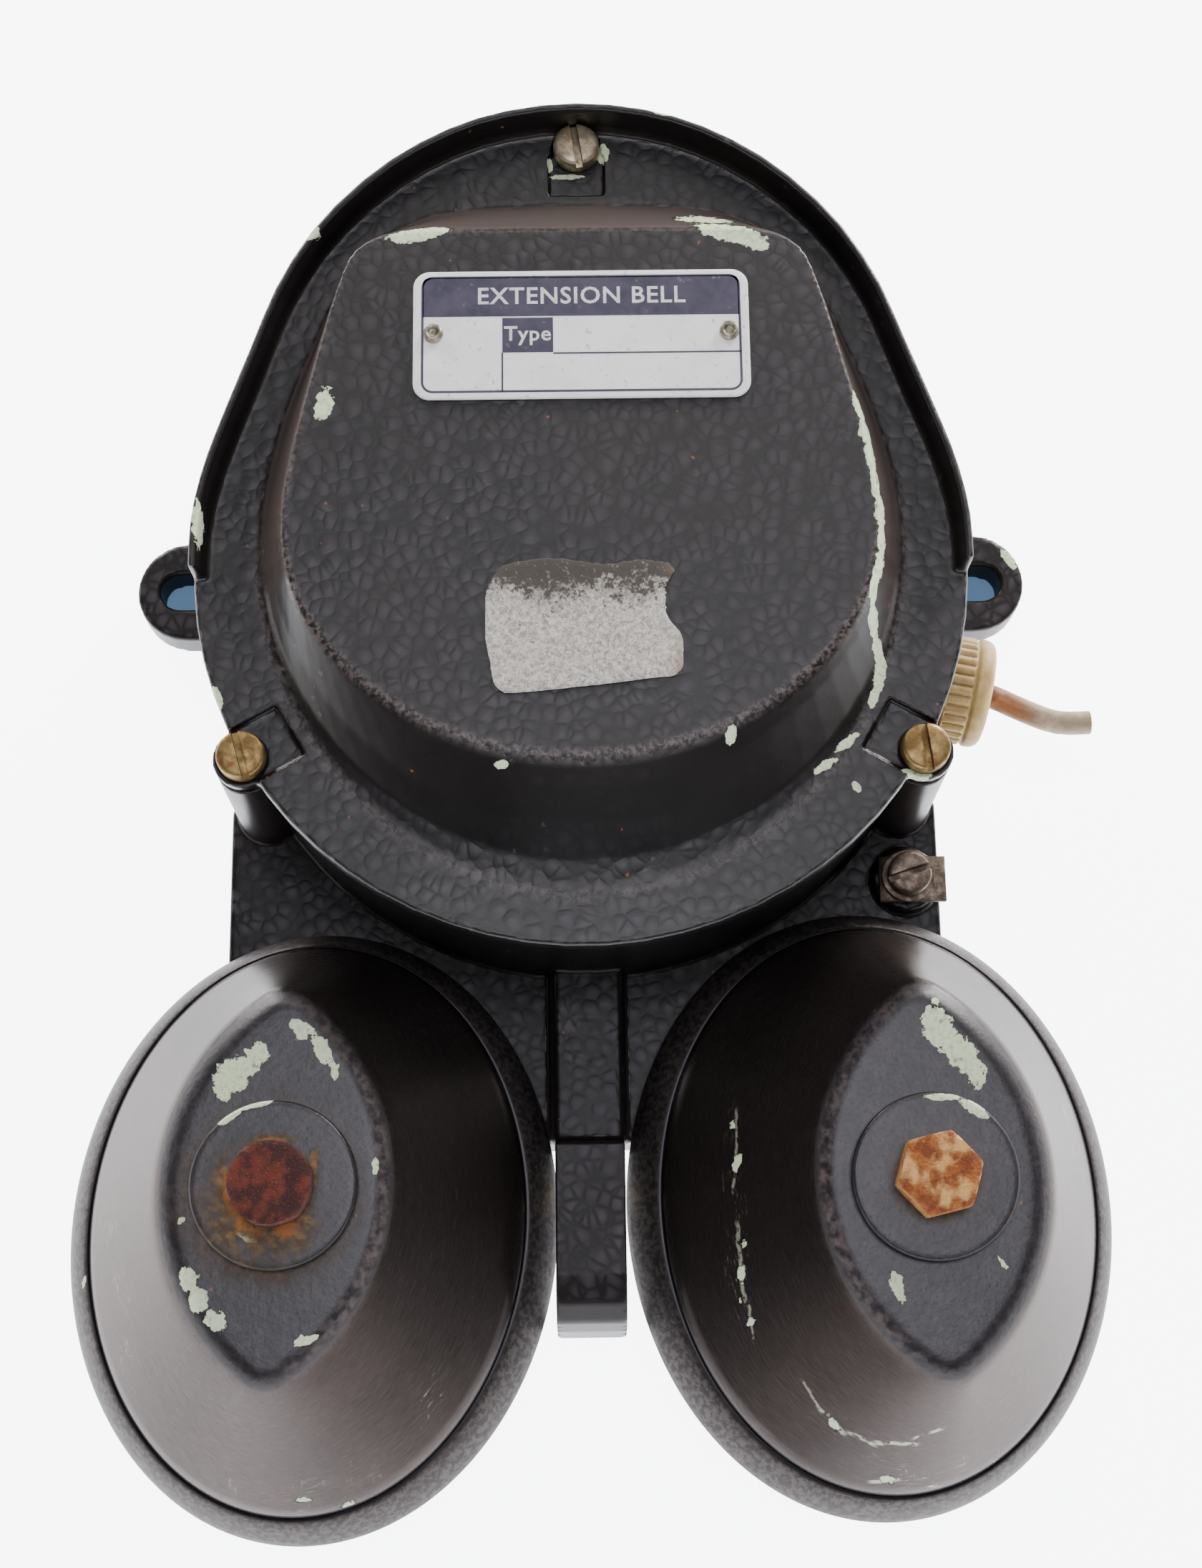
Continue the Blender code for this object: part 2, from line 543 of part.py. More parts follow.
def smooth_path(points, per):
    """Smooth curve through a few route points."""
    pts = [points[0]] + points + [points[-1]]
    return [spline(*pts[i:i + 4], j / per) for i in range(len(points) - 1) for j in range(per)] + [points[-1]]


def ringer():
    # chassis plate on four bosses
    chassis = block("chassis_plate", (-40, 40), (PLATE_D - 2.0, PLATE_D), (-46, 49), STEEL)
    holes = []
    for x in (-33.0, 33.0):
        for z in (-40.0, 43.0):
            holes.append((turned_rings([(2.3, 5.0), (2.3, 15.0)], (x, 0, z), FRONT, 12), False))
    holes.append((turned_rings([(1.8, 5.0), (1.8, 15.0)], (0, 0, PIVOT_Z), FRONT, 12), False))
    for x in (-35.0, 35.0):
        holes.append((turned_rings([(1.8, 5.0), (1.8, 15.0)], (x, 0, PIVOT_Z), FRONT, 12), False))
    combine(chassis, joined("chassis_hole_form", holes), "DIFFERENCE")
    for name, x, z in (("chassis_screw_1", -33.0, 43.0), ("chassis_screw_2", 33.0, 43.0),
                       ("chassis_screw_3", -33.0, -40.0), ("chassis_screw_4", 33.0, -40.0)):
        bolt(name, (x, PLATE_D + GAP, z), FRONT, ZINC, 3.5, 2.4, 2.0, 7.0, n=14)

    # yoke across the top of the coils, with a foot on the chassis
    profile = [(33.3, 11.6), (47.0, 11.6), (47.0, 14.0), (38.3, 14.0), (38.3, 34.0), (33.3, 34.0)]
    yoke = loft("yoke", [[p(x, d, z) for z, d in profile] for x in (-26.0, 26.0)], IRON)
    bores = [(turned_rings([(2.3, 30.0), (2.3, 42.0)], (side * COIL_X, COIL_D, 0), UP, 12), False) for side in (-1, 1)]
    combine(yoke, joined("yoke_hole_form", bores), "DIFFERENCE")

    for side, label in ((-1, "left"), (1, "right")):
        at = (side * COIL_X, COIL_D, 0)
        core = turned("core_" + label, [(4.0, -15.7), (4.0, 33.0)], at, UP, IRON, n=16)
        tap = turned("core_tap_form_" + label, [(2.3, 24.0), (2.3, 36.0)], at, UP, n=12)
        combine(core, tap, "DIFFERENCE")
        bolt("core_screw_" + label, (side * COIL_X, COIL_D, 38.6), UP, ZINC, 3.5, 2.6, 2.0, 12.0, n=14)
        turned("bobbin_" + label, [(4.3, -12.0), (12.4, -12.0), (12.4, -10.4), (5.4, -10.4), (5.4, 30.4), (12.4, 30.4),
                                   (12.4, 32.0), (4.3, 32.0)], at, UP, BAKELITE, n=16, ring=True)
        turned("winding_" + label, [(5.7, -10.1), (11.2, -10.1), (11.2, 30.1), (5.7, 30.1)], at, UP, COPPER, n=16,
               ring=True)

    block("magnet", (-6.0, 6.0), (11.6, 17.4), (-11.0, 33.0), MAGNET)

    # armature: bar under the poles, hub on the pivot, tail that takes the rod
    pivot = (0.0, 26.0, PIVOT_Z)
    armature = block("armature", (-24.0, 24.0), (20.0, 32.0), (-21.4, -16.9), IRON, origin=pivot)
    hub = turned("hub_form", [(4.4, 19.0), (4.4, 33.0)], (0, 0, PIVOT_Z), FRONT, n=20)
    combine(armature, hub, "UNION")
    tail = block("tail_form", (-3.4, 3.4), (19.4, 26.6), (-31.0, -21.0))
    combine(armature, tail, "UNION")
    eye = turned("hub_bore_form", [(1.8, 10.0), (1.8, 40.0)], (0, 0, PIVOT_Z), FRONT, n=16)
    combine(armature, eye, "DIFFERENCE")
    socket = turned("tail_bore_form", [(ROD_R + GAP, -35.0), (ROD_R + GAP, -24.0)], (0, 23.0, 0), UP, n=12)
    combine(armature, socket, "DIFFERENCE")
    turned("pivot_pin", [(1.5, 9.6), (1.5, 38.0)], (0, 0, PIVOT_Z), FRONT, STEEL, n=12)

    # bridge that carries the front end of the pivot
    strap = [(-38.5, 11.6), (-30.0, 11.6), (-30.0, 34.4), (30.0, 34.4), (30.0, 11.6), (38.5, 11.6), (38.5, 13.1),
             (31.5, 13.1), (31.5, 35.9), (-31.5, 35.9), (-31.5, 13.1), (-38.5, 13.1)]
    bridge = loft("bearing_bridge", [[p(x, d, z) for x, d in strap] for z in (PIVOT_Z - 4.5, PIVOT_Z + 4.5)], STEEL)
    holes = [(turned_rings([(1.8, 25.0), (1.8, 45.0)], (0, 0, PIVOT_Z), FRONT, 12), False)]
    for x in (-35.0, 35.0):
        holes.append((turned_rings([(1.8, 5.0), (1.8, 20.0)], (x, 0, PIVOT_Z), FRONT, 12), False))
    combine(bridge, joined("bridge_hole_form", holes), "DIFFERENCE")
    for name, x in (("bridge_screw_left", -35.0), ("bridge_screw_right", 35.0)):
        bolt(name, (x, 13.4, PIVOT_Z), FRONT, ZINC, 2.8, 2.0, 1.5, 5.0, n=12)

    # clapper rod from the armature's tail down to the striker
    bx, bd, bz = BALL
    route = smooth_path([(0, 23.0, -25.0), (0, 23.0, -31.0), (0, 21.2, -38.0), (0, 17.6, -47.0), (0, ROD_D, -56.0),
                         (0, ROD_D, -76.0), (0, ROD_D, -94.0), (0, ROD_D + 0.4, -99.6), (0, 18.4, -102.4),
                         (bx, bd - 0.4, bz + 0.6)], 3)
    tube("clapper_rod", route, ROD_R, STEEL, resolution=2, origin=pivot)
    ball = []
    for i in range(1, 8):
        a = pi * i / 8
        ball.append((BALL_R * sin(a), -BALL_R * cos(a)))
    striker = turned("striker_ball", ball, BALL, UP, BRASS, n=16, origin=pivot)
    bore = tube_cutter("striker_bore_form", route[-5:], ROD_R + GAP)
    combine(striker, bore, "DIFFERENCE")

    # rubber seal where the rod leaves the casing
    seal = block("rod_seal", (-4.6, 5.0), (12.3, 20.7), (-67.5, -60.2), RUBBER)
    lip = block("seal_lip_form", (-7.0, 7.4), (10.4, 22.6), (-61.3, -59.8))
    combine(seal, lip, "UNION")
    passage = block("seal_hole_form", (-3.3, 3.7), (14.6, 18.4), (-70.0, -55.0))
    combine(seal, passage, "DIFFERENCE")


def tube_cutter(name, points, radius, n=12):
    rings = []
    pts = [p(*q) for q in points]
    for i, q in enumerate(pts):
        a, b = pts[max(i - 1, 0)], pts[min(i + 1, len(pts) - 1)]
        m = Matrix.Translation(q) @ (b - a).normalized().to_track_quat("Z", "X").to_matrix().to_4x4()
        rings.append([m @ Vector((radius * MM * cos(2 * pi * k / n), radius * MM * sin(2 * pi * k / n), 0))
                      for k in range(n)])
    return loft(name, rings, None)


# ============================================================================================
# Connections: terminal block, capacitor, gland and cable, earth terminal
# ============================================================================================

def connections():
    terminal = block("terminal_block", (42.8, 54.0), (4.3, 15.0), (4.0, 34.0), BAKELITE)
    grooves = [([[p(x, d, z) for x, z in ((41, a), (56, a), (56, a + 1.6), (41, a + 1.6))] for d in (11.0, 17.0)], False)
               for a in (13.2, 23.2)]
    combine(terminal, joined("terminal_groove_form", grooves), "DIFFERENCE")
    taps = [(turned_rings([(1.8, 7.0), (1.8, 18.0)], (48.4, 0, z), FRONT, 12), False) for z in (9.0, 19.0, 29.0)]
    combine(terminal, joined("terminal_tap_form", taps), "DIFFERENCE")
    for name, z in (("terminal_screw_1", 9.0), ("terminal_screw_2", 19.0), ("terminal_screw_3", 29.0)):
        bolt(name, (48.4, 15.3, z), FRONT, BRASS, 2.9, 2.0, 1.5, 6.0, n=12)

    turned("capacitor", [(6.4, -18.0), (7.5, -17.2), (7.5, 17.2), (6.4, 18.0)], (0, 12.9, 62.0), (1, 0, 0),
           ("capacitor_can", (0.45, 0.45, 0.46), 0.4, 0.9), n=20)
    inner, outer = 7.8, 8.8
    cz, cd = 62.0, 12.9
    over = [(cz + inner * cos(radians(a)), cd + inner * sin(radians(a))) for a in range(0, 181, 15)]
    back = [(cz + outer * cos(radians(a)), cd + outer * sin(radians(a))) for a in range(180, -1, -15)]
    side = [(cz + inner, 4.5)] + over + [(cz - inner, 4.5), (cz - 13.0, 4.5), (cz - 13.0, 5.5), (cz - outer, 5.5)]
    side += back + [(cz + outer, 5.5), (cz + 13.0, 5.5), (cz + 13.0, 4.5)]
    clamp = loft("capacitor_clamp", [[p(x, d, z) for z, d in side] for x in (-4.5, 4.5)], STEEL)

    axis = (cos(radians(GLAND_ANGLE)), 0, sin(radians(GLAND_ANGLE)))
    at = (0, GLAND_D, 0)
    bore = CABLE_R + GAP + 0.1
    turned("gland_sleeve", [(bore, 59.3), (9.0, 59.3), (9.0, 61.0), (7.0, 61.0), (7.0, 73.0), (bore, 73.0)], at, axis,
           IVORY, n=20, ring=True)
    turned("gland_seal", [(bore, 73.3), (6.8, 73.3), (6.8, 74.9), (bore, 74.9)], at, axis, RUBBER, n=20, ring=True)
    turned("gland_nut", [(7.3, 68.7), (10.3, 68.7), (10.3, 76.2), (9.3, 77.4), (bore, 77.4), (bore, 75.2), (7.3, 75.2)],
           at, axis, IVORY, n=32, ring=True, origin=(75.2 * axis[0], GLAND_D, 75.2 * axis[2]))

    def on_axis(r):
        return (r * axis[0], GLAND_D, r * axis[2])
    route = smooth_path([(48.6, 11.0, 2.6), (49.2, 14.5, -1.8), (52.4, 20.5, -7.6), on_axis(58.2), on_axis(66.0),
                         on_axis(74.0), on_axis(78.0), (82.8, 24.0, -18.9), (88.6, 24.0, -21.1), (94.6, 24.0, -21.2)], 3)
    tube("cable", route, CABLE_R, PVC, resolution=3)

    clamp_plate = prism("earth_clamp", [(54.6, -53.9), (66.9, -53.9), (66.9, -45.4), (54.6, -45.4)], 18.3, 19.6, ZINC)
    hole = turned("earth_clamp_hole_form", [(2.8, 15.0), (2.8, 25.0)], (59.8, 0, -49.3), FRONT, n=12)
    combine(clamp_plate, hole, "DIFFERENCE")
    turned("earth_washer", [(2.8, 19.9), (4.9, 19.9), (4.9, 20.8), (2.8, 20.8)], (59.8, 0, -49.3), FRONT, ZINC, n=20,
           ring=True)
    bolt("earth_screw", (59.8, 21.1, -49.3), FRONT, BRASS, 4.0, 3.0, 2.5, 11.0, slot=18.0, n=18)


# ============================================================================================
# Pieces on the front of the cover
# ============================================================================================

def front_pieces():
    for name, (x, z), seat, slot in (("cover_screw_top", SCREW_TOP, SEAT_TOP, -82.0),
                                     ("cover_screw_left", (-SCREW_LOW[0], SCREW_LOW[1]), SEAT_LOW, -75.0),
                                     ("cover_screw_right", SCREW_LOW, SEAT_LOW, -83.0)):
        bolt(name, (x, seat + GAP, z), FRONT, BRASS, HEAD_R, HEAD_H, 2.5, 20.0, slot=slot)

    # name plate with rounded corners, held by two rivets
    half_w, half_h, r = 29.8, 12.3, 3.4
    cx, cz, d0, d1 = 0.5, 40.3, DOME_D + GAP, DOME_D + GAP + 0.8
    outline = []
    for sx, sz, a in ((1, 1, 0), (-1, 1, 90), (-1, -1, 180), (1, -1, 270)):
        outline += arc(cx + sx * (half_w - r), cz + sz * (half_h - r), r, a, a + 90, 4)
    plate = prism("name_plate", outline, d0, d1, PLATE)
    holes = [(turned_rings([(1.35, d0 - 3), (1.35, d1 + 3)], (cx + sx * 26.2, 0, cz), FRONT, 12), False)
             for sx in (-1, 1)]
    combine(plate, joined("plate_hole_form", holes), "DIFFERENCE")
    for name, sx in (("plate_rivet_left", -1), ("plate_rivet_right", 1)):
        turned(name, [(1.0, DOME_D - 1.6), (1.0, d1 + GAP), (1.75, d1 + GAP), (1.7, d1 + 0.7), (1.2, d1 + 1.1),
                      (0.5, d1 + 1.3)], (cx + sx * 26.2, 0, cz), FRONT, BRASS, n=14)

    # what is left of a paper label
    torn = [(-15.5, -5.4), (-12.7, -2.5), (-4.0, -1.6), (3.4, -2.7), (10.8, -2.0), (15.7, -3.4), (14.5, -7.2),
            (14.6, -12.4), (16.9, -15.9), (17.3, -20.0), (16.4, -23.2), (3.1, -24.7), (-12.2, -26.1), (-15.2, -24.2),
            (-16.6, -15.8), (-16.6, -9.3)]
    prism("paper_label", torn[::-1], DOME_D + GAP, DOME_D + GAP + 0.3, PAPER)


housing()
cover()
gasket()
gong_set("left", POST_L, RIM_OFF_L, (-radians(CROWN_LEAN), -radians(RIM_LEAN_L)))
gong_set("right", POST_R, RIM_OFF_R, (radians(CROWN_LEAN), radians(RIM_LEAN_R)))
ringer()
connections()
front_pieces()
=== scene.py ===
import json
import bpy
import bmesh
import numpy as np
from math import sin, cos, pi, radians, sqrt
from mathutils import Matrix, Vector, noise


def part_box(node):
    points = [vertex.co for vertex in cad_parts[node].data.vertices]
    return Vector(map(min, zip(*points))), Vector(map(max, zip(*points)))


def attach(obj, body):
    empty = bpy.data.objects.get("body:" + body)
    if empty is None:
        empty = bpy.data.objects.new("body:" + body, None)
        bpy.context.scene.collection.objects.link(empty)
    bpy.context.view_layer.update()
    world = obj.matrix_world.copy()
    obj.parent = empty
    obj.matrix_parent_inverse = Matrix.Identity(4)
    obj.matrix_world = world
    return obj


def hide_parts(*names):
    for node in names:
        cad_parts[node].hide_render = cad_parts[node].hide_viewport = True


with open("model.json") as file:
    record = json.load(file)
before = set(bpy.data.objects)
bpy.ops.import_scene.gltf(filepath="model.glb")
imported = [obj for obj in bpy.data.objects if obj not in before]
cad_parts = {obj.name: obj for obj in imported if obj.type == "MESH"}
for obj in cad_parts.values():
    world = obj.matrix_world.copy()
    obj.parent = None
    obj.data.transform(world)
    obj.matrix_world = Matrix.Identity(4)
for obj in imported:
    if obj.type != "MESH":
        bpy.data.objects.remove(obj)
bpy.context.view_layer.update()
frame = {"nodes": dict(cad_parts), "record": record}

MM = 0.001
nodes = frame["nodes"]
body_of = {n: b for b, ns in frame["record"]["behaviour"]["bodies"].items() for n in ns}


def P(x, d, z):
    """Point from millimetres: x right, d in front of the wall, z up."""
    return Vector((x * MM, -d * MM, z * MM))


def add_object(name, data):
    obj = bpy.data.objects.new(name, data)
    bpy.context.scene.collection.objects.link(obj)
    return obj


# ---------------------------------------------------------------- camera
TILT, PAN, ROLL = radians(15.01), radians(0.53), radians(-0.84)
CAMERA_AT = (-0.00062, -0.43383, -0.14182)
LENS, SENSOR = 52.55, 36


def photo_camera():
    """The photograph's camera: facing the wall, then panned, tilted and rolled."""
    facing = Matrix(((1, 0, 0), (0, 0, 1), (0, 1, 0)))
    pan = Matrix(((cos(PAN), 0, sin(PAN)), (0, 1, 0), (-sin(PAN), 0, cos(PAN))))
    tilt = Matrix(((1, 0, 0), (0, cos(TILT), sin(TILT)), (0, -sin(TILT), cos(TILT))))
    roll = Matrix(((cos(ROLL), sin(ROLL), 0), (-sin(ROLL), cos(ROLL), 0), (0, 0, 1)))
    right, up, back = (Vector((r[0], -r[1], r[2])) for r in roll @ tilt @ pan @ facing)
    cam = add_object("camera", bpy.data.cameras.new("camera"))
    cam.matrix_world = Matrix([(*row, at) for *row, at in zip(right, up, back, CAMERA_AT)] + [(0, 0, 0, 1)])
    cam.data.sensor_fit = "VERTICAL"
    cam.data.sensor_width = cam.data.sensor_height = SENSOR
    cam.data.lens = LENS
    cam.data.clip_start = 0.01
    bpy.context.scene.camera = cam


photo_camera()


# ---------------------------------------------------------------- cable
GLAND_ANGLE, GLAND_D, CABLE_R = radians(-11.7), 24, 2.2
CABLE_STEPS = 3


def spline(a, b, c, d, t):
    """Point at share t between b and c on the smooth curve through all four."""
    return tuple(0.5 * (2 * q1 + (q2 - q0) * t + (2 * q0 - 5 * q1 + 4 * q2 - q3) * t ** 2
                        + (3 * q1 - q0 - 3 * q2 + q3) * t ** 3) for q0, q1, q2, q3 in zip(a, b, c, d))


def closed_spline(points, steps):
    n = len(points)
    return [spline(*(points[(i + k - 1) % n] for k in range(4)), j / steps) for i in range(n) for j in range(steps)]


def on_gland(r):
    """Point on the gland's axis, r from the middle of the casing."""
    return (r * cos(GLAND_ANGLE), GLAND_D, r * sin(GLAND_ANGLE))


def cable():
    """Lead from inside the casing, through the gland, to its cut end."""
    knots = [(48.6, 11, 2.6), (49.2, 14.5, -1.8), (52.4, 20.5, -7.6), on_gland(58.2), on_gland(66),
             on_gland(74), on_gland(78), (82.8, 24, -18.9), (88.6, 24, -21.1), (94.6, 24, -21.2)]
    held = [knots[0]] + knots + [knots[-1]]
    route = [P(*spline(*held[i:i + 4], j / CABLE_STEPS)) for i in range(len(knots) - 1) for j in range(CABLE_STEPS)]
    route.append(P(*knots[-1]))
    curve = bpy.data.curves.new("cable_sheath", "CURVE")
    curve.dimensions = "3D"
    curve.bevel_depth = 1  # the thickness comes from each point's radius
    curve.bevel_resolution = 8
    curve.use_fill_caps = True
    line = curve.splines.new("POLY")
    line.points.add(len(route) - 1)
    for q, point in zip(line.points, route):
        q.co = (*point, 1)
        q.radius = CABLE_R * MM
    obj = add_object("cable_sheath", curve)
    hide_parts("cable")
    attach(obj, body_of["cable"])
    return obj


cable_obj = cable()


# ---------------------------------------------------------------- node helpers for materials
class Nodes:
    """Small helper that writes shader nodes as expressions."""

    def __init__(self, tree, coordinates):
        self.tree = tree
        self.where = self.node("ShaderNodeTexCoord").outputs[coordinates]

    def node(self, kind, **settings):
        made = self.tree.nodes.new(kind)
        for key, value in settings.items():
            setattr(made, key, value)
        return made

    def put(self, socket, value):
        if hasattr(value, "is_output"):
            self.tree.links.new(value, socket)
        else:
            opaque = socket.type == "RGBA" and len(value) == 3
            socket.default_value = (*value, 1) if opaque else value

    def fill(self, made, first, *values):
        """The node, with values on its sockets from number first on."""
        for i, value in enumerate(values):
            self.put(made.inputs[first + i], value)
        return made

    def math(self, op, *values, clamp=False):
        return self.fill(self.node("ShaderNodeMath", operation=op, use_clamp=clamp), 0, *values).outputs[0]

    def times(self, a, b, clamp=False):
        return self.math("MULTIPLY", a, b, clamp=clamp)

    def plus(self, a, b):
        return self.math("ADD", a, b)

    def minus(self, a, b):
        return self.math("SUBTRACT", a, b)

    def higher(self, a, b):
        return self.math("MAXIMUM", a, b)

    def size(self, a):
        return self.math("ABSOLUTE", a)

    def swing(self, field, reach):
        """A noise field's height above its middle, times a reach."""
        return self.times(self.minus(field, 0.5), reach)

    def ramp(self, value, low, high, out_low=0, out_high=1, smooth=True):
        made = self.node("ShaderNodeMapRange", interpolation_type="SMOOTHSTEP" if smooth else "LINEAR")
        return self.fill(made, 0, value, low, high, out_low, out_high).outputs[0]

    def blend(self, factor, a, b):
        made = self.fill(self.node("ShaderNodeMix", data_type="FLOAT"), 0, factor)
        return self.fill(made, 2, a, b).outputs[0]

    def parts(self, vector):
        return self.fill(self.node("ShaderNodeSeparateXYZ"), 0, vector).outputs


class Shader(Nodes):
    """A material on object coordinates, with its principled shader."""

    def __init__(self, name):
        self.mat = bpy.data.materials.new(name)
        self.mat.use_nodes = True
        super().__init__(self.mat.node_tree, "Object")
        self.bsdf = self.tree.nodes["Principled BSDF"]

    def mix(self, factor, a, b):
        made = self.fill(self.node("ShaderNodeMix", data_type="RGBA"), 0, factor)
        return self.fill(made, 6, a, b).outputs[2]

    def over(self, colour, paint, field, low, high, share=1):
        """A paint laid over the colour where a field is past low, at its full share past high."""
        return self.mix(self.ramp(field, low, high, 0, share), colour, paint)

    def noise(self, scale, detail=4, rough=0.55, vector=None, distortion=0):
        made = self.node("ShaderNodeTexNoise")
        for name, value in (("Vector", vector or self.where), ("Scale", scale), ("Detail", detail),
                            ("Roughness", rough), ("Distortion", distortion)):
            self.put(made.inputs[name], value)
        return made.outputs["Fac"]

    def cells(self, scale, vector, feature="F1"):
        made = self.node("ShaderNodeTexVoronoi", feature=feature)
        self.put(made.inputs["Vector"], vector)
        self.put(made.inputs["Scale"], scale)
        return made.outputs

    def arrow(self, operation, *values):
        return self.fill(self.node("ShaderNodeVectorMath", operation=operation), 0, *values)

    def warped(self, scale, amount):
        """Object coordinates pushed about by noise, so that cells and spots aren't regular."""
        push = self.node("ShaderNodeTexNoise")
        for name, value in (("Vector", self.where), ("Scale", scale), ("Detail", 2)):
            self.put(push.inputs[name], value)
        shift = self.arrow("SUBTRACT", push.outputs["Color"], (0.5, 0.5, 0.5))
        scaled = self.arrow("SCALE", shift.outputs[0])
        scaled.inputs["Scale"].default_value = amount
        return self.arrow("ADD", self.where, scaled.outputs[0]).outputs[0]

    def stretched(self, x, y, z):
        made = self.node("ShaderNodeMapping")
        self.put(made.inputs["Vector"], self.where)
        made.inputs["Scale"].default_value = (x, y, z)
        return made.outputs[0]

    def flat(self, x, y):
        return self.fill(self.node("ShaderNodeCombineXYZ"), 0, x, y).outputs[0]

    def attribute(self, name):
        return self.node("ShaderNodeAttribute", attribute_name=name).outputs["Fac"]

    def bump(self, height, distance, strength):
        made = self.node("ShaderNodeBump")
        for name, value in (("Height", height), ("Distance", distance), ("Strength", strength)):
            self.put(made.inputs[name], value)
        return made.outputs["Normal"]

    def edge(self):
        return self.node("ShaderNodeNewGeometry").outputs["Pointiness"]

    def dot(self, direction):
        return self.arrow("DOT_PRODUCT", self.where, direction).outputs["Value"]

    def line(self, start, end, half):
        """1 on a thin wandering line between two (x, z) points on the front, all in mm."""
        (ax, az), (bx, bz) = start, end
        length = sqrt((bx - ax) ** 2 + (bz - az) ** 2)
        ux, uz = (bx - ax) / length, (bz - az) / length
        along = self.minus(self.dot((ux, 0, uz)), (ax * ux + az * uz + length / 2) * MM)
        aside = self.minus(self.dot((-uz, 0, ux)), (az * ux - ax * uz) * MM)
        wander = self.swing(self.noise(170, 3), 0.0022)
        near = self.ramp(self.size(self.plus(aside, wander)), half * MM, 0.4 * half * MM)
        inside = self.ramp(self.size(along), (length / 2 + 0.4) * MM, (length / 2 - 1.2) * MM)
        return self.times(self.times(near, inside), self.ramp(self.noise(700, 3, 0.6), 0.38, 0.5))

    def set(self, **values):
        names = {"colour": "Base Color", "rough": "Roughness", "metal": "Metallic", "normal": "Normal",
                 "sheen": "Sheen Weight", "specular": "Specular IOR Level", "subsurface": "Subsurface Weight"}
        for key, value in values.items():
            self.put(self.bsdf.inputs[names[key]], value)
        return self.mat


PRIMER = (0.7, 0.82, 0.55)


def chipped(s, colour, rough, height):
    """Chips down to pale primer wherever the piece's chip attribute, roughened by noise, is high."""
    ragged = s.swing(s.noise(800, 4, 0.6), 1.15)
    chip = s.plus(s.attribute("chip"), ragged)
    bare, rim = s.ramp(chip, 0.46, 0.53), s.ramp(chip, 0.36, 0.46)
    paint = s.over(PRIMER, (0.48, 0.56, 0.38), s.noise(1300, 3), 0.42, 0.75)
    paint = s.over(paint, (0.17, 0.18, 0.19), s.noise(480, 3), 0.6, 0.7, 0.7)
    colour = s.mix(bare, s.mix(rim, colour, (0.004, 0.004, 0.004)), paint)
    return colour, s.blend(bare, rough, 0.85), s.minus(height, s.times(bare, 1.4)), bare


def specks(s, colour):
    """Dust, pin-prick rust and little pale nicks."""
    colour = s.over(colour, (0.09, 0.075, 0.065), s.noise(2600, 2), 0.71, 0.77, 0.5)
    spots = s.cells(150, s.warped(300, 0.002))["Distance"]
    return s.mix(s.times(s.ramp(spots, 0.06, 0.03), 0.8), colour, (0.22, 0.075, 0.03))


HAMMER_CELL = 0.0026
BLACK_SEAM, RUBBED, OLD_DAB = (0.0022, 0.0018, 0.002), (0.15, 0.118, 0.108), (0.42, 0.12, 0.13)


def hammertone(name, tone=1, gloss=0.5):
    """Charcoal hammer-finish enamel: round lighter cells with fine dark seams on flat faces, smooth on flanks."""
    s = Shader(name)

    def toned(*colour):
        return tuple(c * tone for c in colour)
    spread = s.warped(170, 0.0016)
    normal = s.parts(s.tree.nodes["Texture Coordinate"].outputs["Normal"])
    facing = s.ramp(s.size(normal[1]), 0.9, 0.985, 0.04, 1)
    big = s.cells(1 / HAMMER_CELL, spread)
    dist = big["Distance"]
    tint = s.parts(big["Color"])
    seam = s.ramp(s.cells(1 / HAMMER_CELL, spread, "DISTANCE_TO_EDGE")["Distance"], 0, 0.2)
    dome = s.ramp(dist, 0.66, 0, smooth=False)
    blob = s.times(s.ramp(dist, 0.66, 0.1), s.ramp(tint[0], 0, 1, 0.45, 1, smooth=False))
    blob = s.times(s.times(blob, seam), facing)
    cloud = s.noise(38, 4)
    base = s.over(toned(0.0098, 0.0077, 0.0092), toned(0.0115, 0.0084, 0.0086), cloud, 0.4, 0.64)
    # the dome's sides that face up and to the sides get a lighter dusty brown, which also stands in for the sheen
    # and light falling on them (painted sheen); those that face down stay black
    outward = s.plus(normal[2], s.times(s.size(normal[0]), 0.62))
    dust_and_sheen = s.ramp(s.plus(outward, s.swing(cloud, 0.35)), 0.12, 0.58)
    dust_and_sheen = s.times(dust_and_sheen, s.attribute("flank"))
    base = s.mix(facing, s.mix(dust_and_sheen, toned(0.0056, 0.0042, 0.0038), toned(0.082, 0.065, 0.06)), base)
    # painted shade: a darker belt across the wing and the flange
    low = s.times(s.ramp(s.dot((0, 0, 1)), -0.036, -0.052), s.ramp(s.dot((0, 0, 1)), -0.095, -0.078))
    base = s.mix(s.times(low, 0.75), base, (0.004, 0.0034, 0.0042))
    body = s.mix(blob, base, toned(0.025, 0.0212, 0.0262))
    body = s.mix(s.times(s.minus(1, seam), s.times(facing, 0.8)), body, BLACK_SEAM)
    crumb = s.ramp(s.noise(1100, 4, 0.65), 0.42, 0.6)
    rubbed = s.times(s.plus(s.attribute("worn"), s.times(s.ramp(s.edge(), 0.53, 0.62), 0.5)), crumb)
    body = specks(s, s.mix(s.times(rubbed, 0.75, clamp=True), body, RUBBED))
    rough = s.plus(s.blend(facing, 0.3, 0.42), s.ramp(cloud, 0.3, 0.7, 0, 0.07))
    height = s.times(s.plus(dome, s.times(seam, 0.12)), facing)
    height = s.plus(height, s.times(s.noise(1500, 2), 0.13))
    body = s.mix(s.times(s.ramp(s.attribute("dab"), 0.4, 0.8), crumb), body, OLD_DAB)
    body, rough, height, _ = chipped(s, body, rough, height)
    return s.set(colour=body, rough=rough, specular=gloss, normal=s.bump(height, 0.00013, 0.9))


